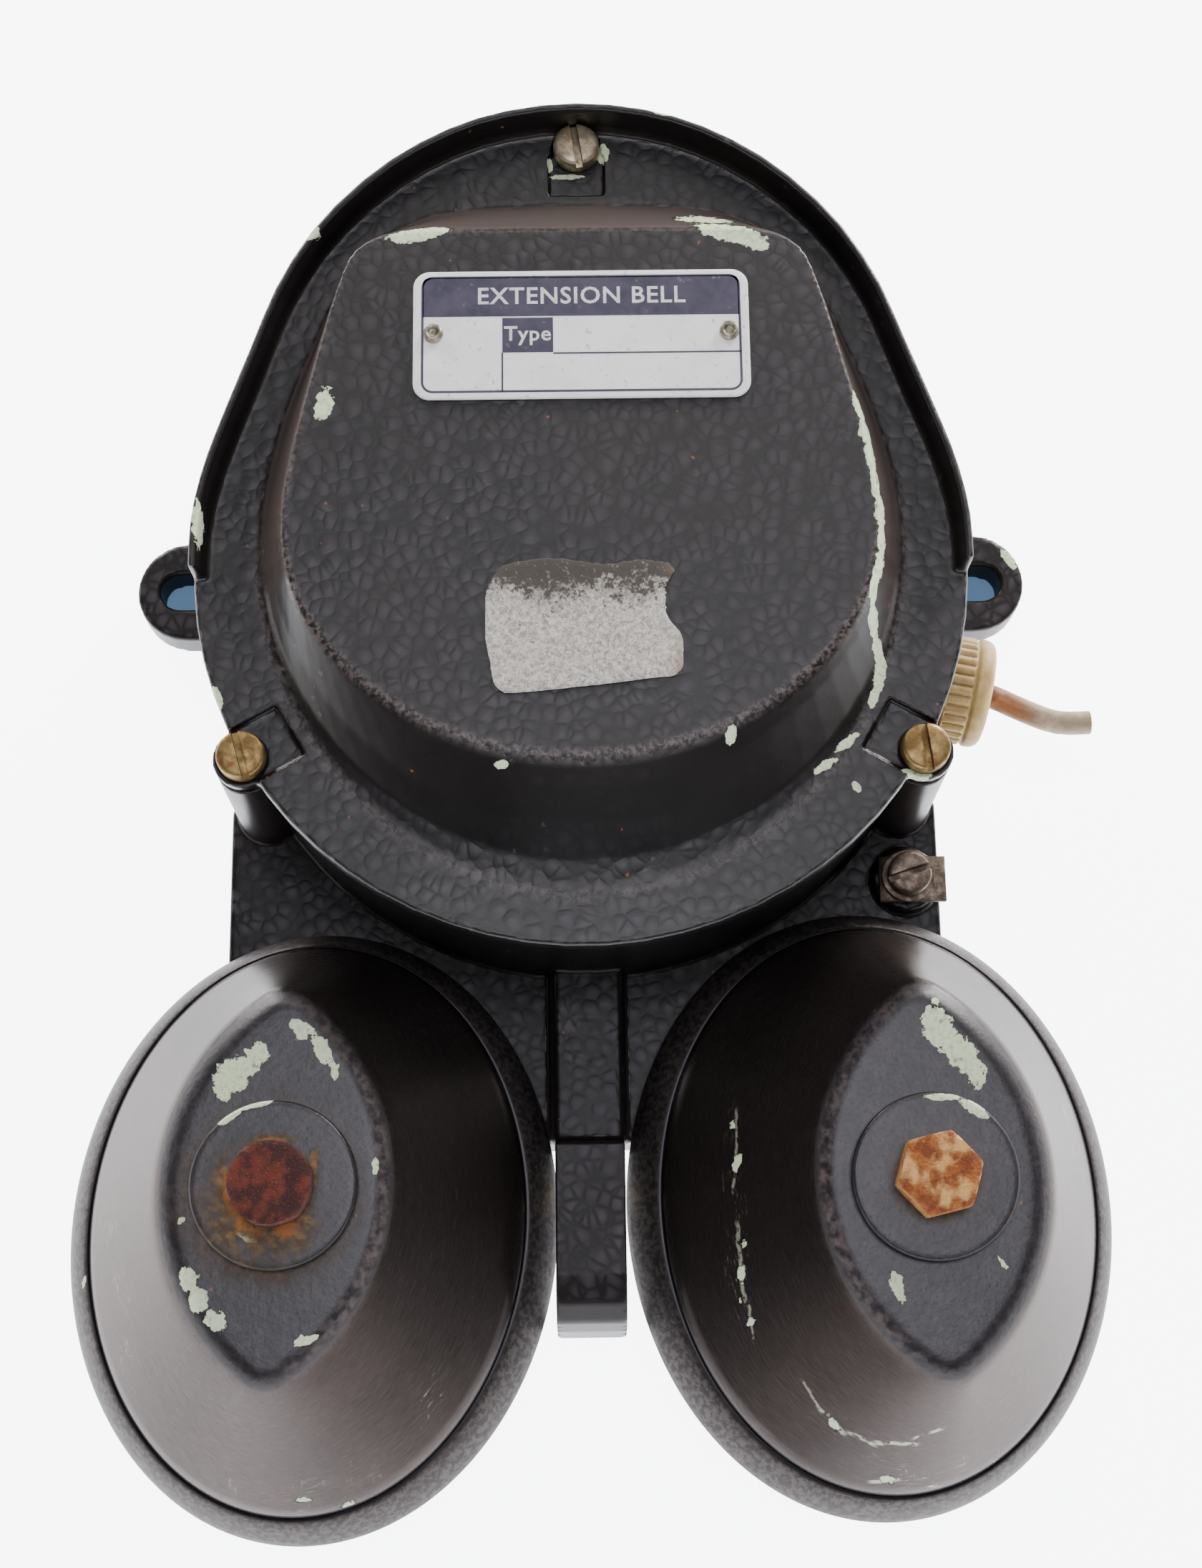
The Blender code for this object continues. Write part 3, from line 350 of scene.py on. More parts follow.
# scratches through the right gong's lacquer: start and end as (x, z) on the front, half width
SCRATCHES = [((26.2, -93), (25.2, -108), 0.32), ((25.4, -112.5), (26.6, -127), 0.42),
             ((26.9, -126), (28, -133), 0.3), ((38.2, -143.6), (43.4, -148.4), 0.42),
             ((43.2, -147.8), (48.4, -150.4), 0.34), ((47.6, -149.7), (55.4, -150.4), 0.36),
             ((54, -149.5), (59.6, -147.7), 0.3), ((47, -156.2), (52.6, -156), 0.34),
             ((36, -139), (39, -144.6), 0.26)]


def gong_finish(name):
    """Skirt: dark brushed and lacquered steel. Crown: charcoal enamel, smooth and a little cloudy."""
    s = Shader(name)
    crown, around, across = (s.attribute(key) for key in ("crown", "around", "across"))

    def brushed(along, over, *noise_settings, **more):
        """Noise drawn out around the skirt."""
        return s.noise(1, *noise_settings, vector=s.flat(s.times(around, along), s.times(across, over)), **more)
    brush = brushed(7, 260, 3, 0.7)
    streak = brushed(5, 52, 4, 0.6)
    cloud = s.noise(36, 4)
    skirt = s.over((0.037, 0.029, 0.027), (0.072, 0.056, 0.051), cloud, 0.35, 0.7)
    skirt = s.over(skirt, (0.094, 0.077, 0.069), brush, 0.35, 0.7, 0.5)
    # painted shade and light: the skirt is darker on its side towards the other gong and the casing, and paler on
    # its far side
    inner = s.plus(s.attribute("inner"), s.swing(cloud, 0.3))
    skirt = s.over(skirt, (0.015, 0.012, 0.0112), inner, 0.15, 0.75, 0.85)
    skirt = s.over(skirt, (0.15, 0.128, 0.12), inner, 0, -0.8, 0.5)
    scratch = s.times(s.ramp(streak, 0.66, 0.72), s.ramp(s.noise(60, 3), 0.5, 0.62))
    skirt = s.mix(s.times(scratch, 0.3), skirt, (0.2, 0.185, 0.165))
    # scratches through the lacquer, mostly along the brushing and a few steeper
    scuff = s.ramp(s.attribute("scuff"), 0.15, 0.95)
    marks = brushed(13, 95, 3, 0.75, distortion=0.6)
    steep = s.noise(520, 3, 0.7, vector=s.stretched(2.6, 1, 0.22))
    bared = s.times(s.higher(s.ramp(marks, 0.6, 0.66), s.ramp(steep, 0.64, 0.69)), scuff)
    bared = s.times(bared, s.ramp(s.noise(130, 3), 0.44, 0.56))
    for scratched in SCRATCHES:
        bared = s.higher(bared, s.line(*scratched))
    skirt = s.mix(bared, skirt, (0.42, 0.43, 0.33))
    # painted shade: near black along the skirt's bead groove
    groove_shade = s.ramp(s.attribute("bead"), 0.3, 0.9)
    band = s.ramp(across, 1.01, 1.05)
    speckle = s.over((0.022, 0.0185, 0.019), (0.075, 0.064, 0.06), s.noise(1000, 4, 0.65), 0.4, 0.62)
    skirt = s.mix(s.times(band, 0.85), skirt, speckle)
    skirt = s.mix(groove_shade, skirt, (0.008, 0.007, 0.009))
    enamel = s.over((0.01, 0.008, 0.01), (0.02, 0.0165, 0.021), s.noise(60, 4), 0.36, 0.66)
    enamel = s.over(enamel, (0.036, 0.03, 0.037), s.noise(420, 4), 0.42, 0.62, 0.6)
    enamel = s.over(enamel, (0.0035, 0.003, 0.0035), s.noise(1500, 3, 0.6), 0.5, 0.62, 0.8)
    rubbed = s.times(s.attribute("roll"), s.ramp(s.noise(700, 4), 0.38, 0.68))
    enamel = s.mix(s.times(rubbed, 0.75), enamel, (0.12, 0.094, 0.088))
    # painted shade: the disc's rim near black, where the gap to the gong is
    enamel = s.mix(groove_shade, specks(s, enamel), (0.004, 0.0035, 0.004))
    colour = s.mix(crown, skirt, enamel)
    rough = s.blend(crown, s.ramp(brush, 0.3, 0.7, 0.22, 0.33), 0.4)
    rough = s.blend(band, rough, 0.48)
    height = s.times(s.noise(950, 3), s.times(crown, 0.45))
    height = s.plus(height, s.times(brush, s.blend(crown, 0.035, 0)))
    height = s.plus(height, s.times(s.noise(1100, 3), s.times(band, 0.3)))
    colour, rough, height, bare = chipped(s, colour, rough, height)
    metal = s.blend(bare, s.blend(crown, 0.55, 0), 0)
    # rust run out from the bolt: a brown stain with an orange crust next to it
    spread = s.attribute("rust")
    rust = s.times(s.ramp(spread, 0, 0.9), s.ramp(s.noise(300, 5, 0.65), 0.25, 0.62))
    stain = s.over((0.08, 0.04, 0.013), (0.19, 0.115, 0.038), s.noise(700, 4), 0.4, 0.65)
    crust = s.times(s.ramp(spread, 0.8, 1.15), s.ramp(s.noise(520, 4, 0.65), 0.34, 0.56))
    colour = s.mix(rust, colour, s.mix(crust, stain, (0.36, 0.125, 0.02)))
    return s.set(colour=colour, rough=s.blend(rust, rough, 0.75), metal=metal, normal=s.bump(height, 0.00018, 0.75))


def rusty(name, plated, deep, orange, pale):
    """Rusted steel: the larger plated is, the more of its pale plating is left."""
    s = Shader(name)
    patch, grit = s.noise(330, 5, 0.65), s.noise(2300, 4)
    colour = s.over(deep, orange, patch, 0.42, 0.62)
    colour = s.over(colour, (0.07, 0.02, 0.015), grit, 0.52, 0.72, 0.8)
    left = s.ramp(s.plus(s.noise(260, 4), plated), 0.62, 0.78)
    colour = s.mix(left, colour, pale)
    colour = s.over(colour, (0.42, 0.3, 0.24), s.noise(5200, 2), 0.66, 0.72, 0.5)
    height = s.plus(s.times(patch, 1), s.times(grit, 0.5))
    return s.set(colour=colour, rough=s.blend(left, 0.85, 0.42), metal=s.blend(left, 0.1, 0.55),
                 normal=s.bump(height, 0.00035, 0.8))


def worn_metal(name, base, dark, rough, metal=0.9, rust=0, scale=420, grain=(1, 1, 1)):
    """Plated or plain metal with tarnish, fine scratches and, where asked, rust."""
    s = Shader(name)
    tarnish = s.noise(scale, 5, 0.6)
    lines = s.noise(2400, 2, vector=s.stretched(*grain))
    colour = s.over(dark, base, tarnish, 0.36, 0.68)
    colour = s.over(colour, tuple(min(1, c * 1.5) for c in base), lines, 0.55, 0.75, 0.35)
    rough = s.ramp(tarnish, 0.3, 0.7, rough + 0.16, rough)
    if rust:
        rusted = s.ramp(s.plus(s.noise(520, 5), rust), 0.62, 0.76)
        colour = s.mix(rusted, colour, (0.22, 0.075, 0.018))
        rough, metal = s.blend(rusted, rough, 0.8), s.blend(rusted, metal, 0.1)
    height = s.plus(tarnish, s.times(lines, 0.3))
    return s.set(colour=colour, rough=rough, metal=metal, normal=s.bump(height, 0.00006, 0.6))


def plain_stuff(name, base, other, rough, depth=0.00005):
    """Rubber, plastic, fibre and the like: clouded colour, fine grain."""
    s = Shader(name)
    cloud, grain = s.noise(300, 5, 0.6), s.noise(1800, 4)
    colour = s.over(base, other, cloud, 0.34, 0.68)
    colour = s.over(colour, tuple(c * 0.45 for c in base), grain, 0.58, 0.75, 0.25)
    height = s.plus(grain, s.times(cloud, 0.5))
    return s.set(colour=colour, rough=s.ramp(cloud, 0.3, 0.7, rough - 0.07, rough + 0.07),
                 normal=s.bump(height, depth, 0.7))


# ---------------------------------------------------------------- mesh helpers
def finish_piece(obj, node, material, stands=True):
    """Gives a piece its material and ties it to its CAD node, in whose place it stands unless told otherwise."""
    obj.data.materials.clear()
    obj.data.materials.append(material)
    if stands:
        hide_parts(node)
    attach(obj, body_of[node])
    return obj


def shade(mesh, angle):
    mesh.shade_smooth()
    mesh.set_sharp_from_angle(angle=radians(angle))


def new_piece(name, bm, angle=40):
    bmesh.ops.recalc_face_normals(bm, faces=bm.faces[:])
    mesh = bpy.data.meshes.new(name)
    bm.to_mesh(mesh)
    bm.free()
    shade(mesh, angle)
    return add_object(name, mesh)


def modify(obj, kind, **settings):
    """Adds one modifier and applies it at once."""
    mod = obj.modifiers.new(kind.lower(), kind)
    for key, value in settings.items():
        setattr(mod, key, value)
    bpy.context.view_layer.update()
    old = obj.data
    obj.data = bpy.data.meshes.new_from_object(obj.evaluated_get(bpy.context.evaluated_depsgraph_get()))
    obj.modifiers.clear()
    bpy.data.meshes.remove(old)


def bevel(obj, width, segments, angle, sharp):
    modify(obj, "BEVEL", width=width * MM, segments=segments, limit_method="ANGLE", angle_limit=radians(angle))
    shade(obj.data, sharp)


def positions(obj):
    co = np.empty(len(obj.data.vertices) * 3)
    obj.data.vertices.foreach_get("co", co)
    return co.reshape(-1, 3)


def welded_copy(node):
    """The CAD node's mesh with its corners joined and its flat faces whole."""
    bm = bmesh.new()
    bm.from_mesh(nodes[node].data)
    bmesh.ops.remove_doubles(bm, verts=bm.verts[:], dist=0.000004)
    bmesh.ops.dissolve_limit(bm, angle_limit=radians(0.6), verts=bm.verts[:], edges=bm.edges[:])
    bm.normal_update()
    return bm


def skin(node, material, width):
    """The CAD piece again with its sharp edges broken, for close looks."""
    obj = new_piece(node + "_skin", welded_copy(node), 35)
    if width:
        bevel(obj, width, 3, 38, 50)
    return finish_piece(obj, node, material)


RELAX_ROUNDS, RELAX_OUT, RELAX_BACK = 3, 0.55, -0.53


def cast_skin(node, voxel, material):
    """Casting surface: the CAD solid remeshed finely and relaxed, so that every edge has a soft cast radius."""
    bm = welded_copy(node)
    bmesh.ops.triangulate(bm, faces=bm.faces[:])
    obj = new_piece(node + "_casting", bm)
    modify(obj, "REMESH", mode="VOXEL", voxel_size=voxel * MM)
    co, mesh = positions(obj), obj.data
    edges = np.empty(len(mesh.edges) * 2, np.int64)
    mesh.edges.foreach_get("vertices", edges)
    a, b = edges.reshape(-1, 2).T
    count = len(co)
    degree = np.bincount(a, minlength=count) + np.bincount(b, minlength=count)
    for step in (RELAX_OUT, RELAX_BACK) * RELAX_ROUNDS:
        near = np.stack([np.bincount(a, co[b, k], count) + np.bincount(b, co[a, k], count) for k in range(3)], 1)
        co = co + step * (near / degree[:, None] - co)
    low, high = (np.array(v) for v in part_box(node))
    co = np.clip(co, low, high)
    mesh.vertices.foreach_set("co", co.ravel())
    mesh.update()
    mesh.shade_smooth()
    return finish_piece(obj, node, material), co


def put_attribute(obj, name, values):
    layer = obj.data.attributes.new(name, "FLOAT", "POINT")
    layer.data.foreach_set("value", np.asarray(values, np.float32))


SPOT_DEPTH = 3.2


def blobs(co, spots):
    """Highest of several soft spots at each point: 1.2 in a spot's middle, 0.5 on its edge, 0 well outside."""
    best = np.zeros(len(co))
    x, d, z = co[:, 0] / MM, -co[:, 1] / MM, co[:, 2] / MM
    for sx, sd, sz, rx, rz, turn in spots:
        c, s = cos(radians(turn)), sin(radians(turn))
        u, w = (x - sx) * c + (z - sz) * s, -(x - sx) * s + (z - sz) * c
        r = np.sqrt((u / rx) ** 2 + (w / rz) ** 2 + ((d - sd) / SPOT_DEPTH) ** 2)
        best = np.maximum(best, np.clip(1.45 - 0.95 * r, 0, 1.2))
    return best


OUT = (0, -1, 0)


def axes(centre, direction):
    return Matrix.Translation(centre) @ Vector(direction).normalized().to_track_quat("Z", "Y").to_matrix().to_4x4()


def lathe_rings(profile, centre, n, direction=OUT, share=lambda t, r, a: 1):
    """Rings of n points round an axis, one for each (radius, distance along it); share scales the radius."""
    m = axes(centre, direction)
    rings = []
    for r, a in profile:
        reach = [(t, r * share(t, r, a) * MM) for t in (2 * pi * i / n for i in range(n))]
        rings.append([m @ Vector((q * cos(t), q * sin(t), a * MM)) for t, q in reach])
    return rings


def loft_bm(rings, closed=False, bm=None):
    """Skin over a row of rings: joined end to end when closed, else with a cap at each end."""
    bm = bmesh.new() if bm is None else bm
    rows = [[bm.verts.new(q) for q in ring] for ring in rings]
    n = len(rows[0])
    for a, b in list(zip(rows, rows[1:])) + ([(rows[-1], rows[0])] if closed else []):
        for i in range(n):
            j = (i + 1) % n
            bm.faces.new((a[i], a[j], b[j], b[i]))
    if not closed:
        bm.faces.new(rows[0][::-1])
        bm.faces.new(rows[-1])
    return bm


def cut(target, cutter_bm):
    """Boolean cut, applied at once."""
    cutter = new_piece("cutter", cutter_bm)
    modify(target, "BOOLEAN", operation="DIFFERENCE", solver="EXACT", object=cutter)
    bpy.data.objects.remove(cutter, do_unlink=True)
    shade(target.data, 32)


def box_bm(low, high, matrix):
    bm = bmesh.new()
    bmesh.ops.create_cube(bm, size=1)
    for v in bm.verts:
        v.co = matrix @ Vector(tuple((low[k] + (v.co[k] + 0.5) * (high[k] - low[k])) * MM for k in range(3)))
    return bm


# ---------------------------------------------------------------- castings
# spots of chipped paint, each (x, depth, z, half x, half z, turn in degrees)
COVER_CHIPS = [(23.2, 59.5, 65.6, 5.8, 2.3, -4), (27.5, 61.6, 60.4, 6.6, 1.9, -14), (32, 61, 58.4, 2.6, 1.7, -30),
               (-29.4, 61.4, 60.4, 4.6, 1.5, 6), (-26, 61.4, 61.3, 3.2, 1.2, 4), (-44.9, 60.9, 27.7, 1.7, 3.3, -8),
               (49.2, 60.9, 26.2, 0.9, 3, 16), (50.1, 60.8, 21.6, 1.3, 2.8, 8), (50.8, 60.7, 17, 1, 3.2, 6),
               (51.4, 60.6, 11.6, 0.8, 3.8, 4), (52, 60.5, 6.6, 1.1, 3.4, 0), (52.1, 60.3, 1.6, 0.9, 3.6, -2),
               (51.4, 60.3, -3.4, 1, 3.2, -14), (50.4, 60.2, -7.4, 0.8, 3.2, -8), (50.3, 57.2, -11.8, 1.2, 3.4, 6),
               (51.2, 54.2, -16.4, 1.2, 3.4, 8), (51.6, 53, -20.6, 1.2, 3, -6), (50.6, 52.7, -24.8, 0.9, 2.8, -24),
               (45.4, 52.7, -33.2, 0.9, 3, -52), (41.6, 52.8, -37.2, 0.8, 2.6, -58), (-66.9, 59, 6.6, 0.9, 4.6, 2),
               (-63.6, 54, -23.5, 1, 2.2, 22), (5, 53, 81.2, 1.2, 1.9, 0), (-1.5, 53.6, 77, 3.4, 0.55, 0),
               (-4.9, 53.6, 79.2, 0.5, 1.6, 0), (57.4, 52.6, -38.6, 3, 0.8, -8), (-13.9, 60.2, -38.2, 1.2, 0.8, 0),
               (25, 60.2, -33.4, 1, 1.8, -12), (16.1, 60.9, 85.4, 2, 0.7, -12), (-47.6, 60.2, 61.6, 0.8, 1.8, -38),
               (46.8, 54.4, -41, 0.7, 1.2, 40)]
# right half of the dome's outline, as (x, z): its face, and its foot on the flange
FACE_HALF = [(0, 61), (20, 61), (33, 60.6), (39.8, 57.5), (43, 50), (46.5, 36), (50, 20), (51.7, 7), (50.3, -4),
             (46, -13), (38, -22.3), (26, -30.4), (13, -34.7), (0, -36)]
BASE_HALF = [(0, 71.5), (17, 71), (28, 68.5), (37, 62.5), (43.5, 53), (48.8, 41), (54, 26), (57, 10), (56.2, -6),
             (52, -22), (43.5, -37), (30, -50), (15, -57.5), (0, -59.8)]


OUTLINE_STEPS, DOME_MID_Z = 14, 5


def outline_points(share):
    """Closed (x, z) outline of the dome at a share of the way from its foot to its face."""
    half = [tuple((1 - share) * b + share * f for b, f in zip(*pair)) for pair in zip(BASE_HALF, FACE_HALF)]
    return np.array(closed_spline(half + [(-x, z) for x, z in half[-2:0:-1]], OUTLINE_STEPS))


def near_line(co, line, width):
    """1 on a closed line drawn on the front, falling to 0 either side of it."""
    from_line = np.full(len(co), 1e9)
    flat = np.stack([co[:, 0], co[:, 2]], 1) / MM
    for q in line:
        from_line = np.minimum(from_line, (flat[:, 0] - q[0]) ** 2 + (flat[:, 1] - q[1]) ** 2)
    return np.exp(-from_line / width ** 2)


FACE_D, FLANGE_D = 60.2, 52.7
MARK_R, MARK_WIDTH, MARK_HEIGHT = 3.9, 0.42, 0.12
# round marks left in the casting: one on the guard's face, one on the wing by the earth screw, as (x, z, depth)
MARKS = ((0.2, -78.8, 22), (50.2, -57.6, 15))
HOUSING_CHIPS = [(85.6, 4, 12.8, 0.9, 8.2, 0), (84.6, 7.6, 17.5, 1, 2.5, 30), (-86.2, 4, 14, 0.7, 6, 0)]


def castings():
    cover, co = cast_skin("cover", 0.4, hammertone("enamel_hammertone"))
    x, front, z = co[:, 0] / MM, -co[:, 1] / MM, co[:, 2] / MM
    put_attribute(cover, "chip", blobs(co, COVER_CHIPS))
    top_share = np.clip((z + 8) / 40, 0, 1)
    edge = near_line(co, outline_points(0.965), 0.95) * np.clip((front - FACE_D) / 0.8, 0, 1)
    foot = near_line(co, outline_points(0.02), 1.3) * np.clip((front - 53) / 0.8, 0, 1)
    put_attribute(cover, "worn", edge * (1 - 0.55 * top_share) + foot * 0.4 * (1 - top_share))
    # the dome's own sides, told from the hood by their bearing and distance from the middle of the cover
    base = outline_points(0) - (0, DOME_MID_Z)
    bearing = np.arctan2(base[:, 1], base[:, 0])
    order = np.argsort(bearing)
    above = z - DOME_MID_Z
    limit = np.interp(np.arctan2(above, x), bearing[order], np.hypot(*base.T)[order], period=2 * pi)
    inside = np.clip(limit + 0.8 - np.hypot(x, above), 0, 1)
    put_attribute(cover, "flank", np.clip((front - FLANGE_D) / 1.2, 0, 1) * inside)
    housing, co = cast_skin("housing", 0.58, hammertone("enamel_housing", tone=1.9, gloss=0.25))
    x, front, z = co[:, 0] / MM, -co[:, 1] / MM, co[:, 2] / MM
    put_attribute(housing, "chip", blobs(co, HOUSING_CHIPS))
    marks = np.zeros(len(co))
    for mark_x, mark_z, d in MARKS:
        ring = np.exp(-((np.hypot(x - mark_x, z - mark_z) - MARK_R) / MARK_WIDTH) ** 2)
        marks = np.maximum(marks, ring * (np.abs(front - d) < 1))
    co[:, 1] += marks * MARK_HEIGHT * MM
    housing.data.vertices.foreach_set("co", co.ravel())
    put_attribute(housing, "worn", 0.08 * marks)
    put_attribute(housing, "dab", blobs(co, [(51.6, 15, -56.8, 1.2, 1.4, 20)]))


# ---------------------------------------------------------------- gongs
POST_Z, GONG_T, GONG_TOP, GROOVE_D = -106.4, 2, 41.5, 24
LEFT_X, RIGHT_X = -53.3, 58.65
ROUND = 192
AROUND = [2 * pi * (i + 0.5) / ROUND for i in range(ROUND)]
CROWN_A, CROWN_B, CROWN_TIP, CROWN_LEAN = 18.8, 32.4, 5, 2.45
BOLT_R, GAP = 4, 0.3


def turn_point(x, z, angle):
    return x * cos(angle) - z * sin(angle), x * sin(angle) + z * cos(angle)


def crown_half_width(z, shrink):
    """Half width of the eye-shaped crown at height z: two arcs, with the tips rounded to a radius."""
    a, b = CROWN_A - CROWN_TIP, CROWN_B - CROWN_TIP
    r = (a * a + b * b) / (2 * a)
    reach = CROWN_TIP - shrink
    if abs(z) <= (r + reach) * b / r:
        return sqrt(max((r + reach) ** 2 - z * z, 0)) - (r - a)
    return sqrt(max(reach ** 2 - (abs(z) - b) ** 2, 0))


# from the crown's flat top outwards: distance inside the crown's outline, drop, enamel, wear
SHOULDER = [(2.6, 0, 1, 0), (2.1, 0.03, 1, 0), (1.6, 0.11, 1, 0.3), (1.1, 0.25, 1, 0.8), (0.6, 0.46, 1, 1),
            (0.1, 0.74, 1, 1), (-0.4, 1.08, 1, 0.7), (-0.8, 1.38, 0.95, 0.3), (-1.1, 1.61, 0.6, 0),
            (-1.4, 1.84, 0.1, 0), (-2, 2.28, 0, 0)]
# the bead round the skirt's edge, as half width, half height, share of the offset, depth, across, bead
BEAD = [(38.1, 49.3, 0.862, 23.58, 1, 1), (38.3, 49.5, 0.865, 23.34, 1, 1), (38.6, 49.8, 0.87, 23.34, 1, 1),
        (38.9, 50.1, 0.88, 23.3, 1.03, 0.4), (39.6, 50.6, 0.893, 22.9, 1.06, 0)]
# the rolled rim, as the first four of these
RIM = [(40.8, 51.5, 0.92, 21.8), (42, 52.4, 0.95, 20.4), (42.8, 53.1, 0.975, 19.2), (43.35, 53.62, 0.998, 18.1),
       (43.38, 53.68, 1, 17.8), (43.2, 53.5, 1, 17.55), (42.9, 53.2, 1, 17.5), (41.8, 52.1, 1, 17.5),
       (41.4, 51.7, 1, 17.6)]
SKIRT, INSIDE, SKIRT_SHARE, SKIRT_ROWS, SKIRT_SAG = (37.9, 49.1), (36.9, 47.6), 0.86, 16, 0.1


def gong(side, x, offset, leans, chips, rust, scuffs):
    """Gong shell: crown with a hole, shoulder, skirt, beaded and rolled rim, then back along the inside."""
    def ring(a, b, share, d, eye=0, shrink=0):
        """An ellipse at eye 0, the crown's outline at eye 1; the ellipse is moved by a share of the offset."""
        out = []
        for t in AROUND:
            ex, ez = turn_point((a - shrink) * cos(t), (b - shrink) * sin(t), leans[1])
            lz = (CROWN_B - shrink) * sin(t)
            rx, rz = turn_point(crown_half_width(lz, shrink) * (1 if cos(t) >= 0 else -1), lz, leans[0])
            out.append(P(x + eye * rx + (1 - eye) * (ex + offset[0] * share), d,
                         POST_Z + eye * rz + (1 - eye) * (ez + offset[1] * share)))
        return out

    def hole(d):
        return [P(x + (BOLT_R + GAP) * cos(t), d, POST_Z + (BOLT_R + GAP) * sin(t)) for t in AROUND]

    def skirt(part, d, shrink=0, size=SKIRT):
        return ring(*size, SKIRT_SHARE, d, 1 - part, shrink)

    # (ring, crown, across, bead, roll)
    inner, flat = hole(GONG_TOP), skirt(0, GONG_TOP, SHOULDER[0][0])
    rows = [([a.lerp(b, f) for a, b in zip(inner, flat)], 1, 0, 0, 0) for f in (0, 0.35, 0.62, 0.82, 0.93)]
    for shrink, drop, enamel, wear in SHOULDER:
        rows.append((skirt(0, GONG_TOP - drop, shrink), enamel, 0.02, 0, wear))
    foot, shoulder = skirt(1, GROOVE_D), rows[-1][0]
    for k in range(1, SKIRT_ROWS + 1):
        f = k / SKIRT_ROWS
        sag = Vector((0, SKIRT_SAG * sin(pi * f) ** 2 * (1 - f) * MM, 0))
        rows.append(([a.lerp(b, f) + sag for a, b in zip(shoulder, foot)], 0, 0.02 + 0.98 * f, 0, 0))
    rows += [(ring(*shape), 0, across, bead, 0) for *shape, across, bead in BEAD]
    rows += [(ring(*shape, d), 0, 1.06 + (24 - d) * 0.035, 0, 0) for *shape, d in RIM]
    rows.append((ring(39.9, 50.3, 0.95, 19.8), 0, 1.2, 0, 0))
    rows += [(skirt(part, d, 0, INSIDE), 0, part, 0, 0) for part, d in (
        (1, GROOVE_D - 1.7), (0.78, 25.6), (0.55, 29.4), (0.33, 33.2), (0.12, GONG_TOP - GONG_T - 2.6))]
    rows.append((skirt(0, GONG_TOP - GONG_T - 0.9, 3), 0, 0, 0, 0))
    rows.append((skirt(0, GONG_TOP - GONG_T, 4.6), 0, 0, 0, 0))
    rows.append((hole(GONG_TOP - GONG_T), 0, 0, 0, 0))
    obj = new_piece("gong_shell_" + side, loft_bm([r[0] for r in rows], closed=True), 60)
    for index, name in ((1, "crown"), (2, "across"), (3, "bead")):
        put_attribute(obj, name, [r[index] for r in rows for _ in AROUND])
    # the crown's edge is worn mostly where it faces the other gong; painted shade darkens the skirt on its side
    # towards the other gong and the casing, and a painted paler tone lightens its far side
    inward, away = (1, radians(36)) if side == "left" else (-1, radians(146))
    facing_in = [0.12 + 0.88 * max(0, inward * cos(t) + 0.15) for t in AROUND]
    put_attribute(obj, "roll", [r[4] * w for r in rows for w in facing_in])
    put_attribute(obj, "inner", [cos(t - away) for _ in rows for t in AROUND])
    put_attribute(obj, "around", [abs((i / ROUND) * 2 - 1) * 4 for _ in rows for i in range(ROUND)])
    for name, spots in (("chip", chips), ("rust", rust), ("scuff", scuffs)):
        put_attribute(obj, name, blobs(positions(obj), spots))
    finish_piece(obj, "gong_" + side, gong_material)


DISC_PROFILE = [(4.35, 41.8), (13.9, 41.8), (14.2, 42.05), (14.25, 42.6), (14.24, 43.3), (14.1, 43.7),
                (13.75, 43.93), (13.2, 44), (11.5, 44), (9, 44), (7.4, 43.98), (4.35, 43.98)]


def disc(side, x, chips, rust):
    """Round disc between the gong and the bolt's head, dense enough for its chips and stains."""
    rings = lathe_rings(DISC_PROFILE, P(x, 0, POST_Z), 128)
    obj = new_piece("gong_disc_face_" + side, loft_bm(rings, closed=True), 50)
    modify(obj, "SUBSURF", subdivision_type="SIMPLE", levels=2, render_levels=2)
    obj.data.shade_smooth()
    co = positions(obj)
    edge = np.hypot(co[:, 0] / MM - x, co[:, 2] / MM - POST_Z)
    none = np.zeros(len(co))
    # the disc's "bead" is its outer rim, painted near black as the shade of the gap to the gong
    for name, values in (("chip", blobs(co, chips)), ("rust", blobs(co, rust)), ("crown", none + 1), ("roll", none),
                         ("bead", np.clip((edge - 13.75) / 0.3, 0, 1)), ("around", none), ("across", none),
                         ("scuff", none)):
        put_attribute(obj, name, values)
    finish_piece(obj, "gong_disc_" + side, gong_material)


ACROSS_FLATS, HEAD_BASE, HEX_TURN = 13, 44.3, radians(13)
CORNER = ACROSS_FLATS / 2 / cos(pi / 6)
WORN_ROUND, COARSE_RUST, FINE_RUST = 0.955, 700, 1900
# the head's profile, as shares of the corner radius and height above its base
HEAD_PROFILE = [(0.97, 0), (1, 0.3), (1, 2), (1, 3.9), (0.985, 4.4), (0.93, 5), (0.86, 5.25), (0.78, 5.3),
                (0.4, 5.3)]


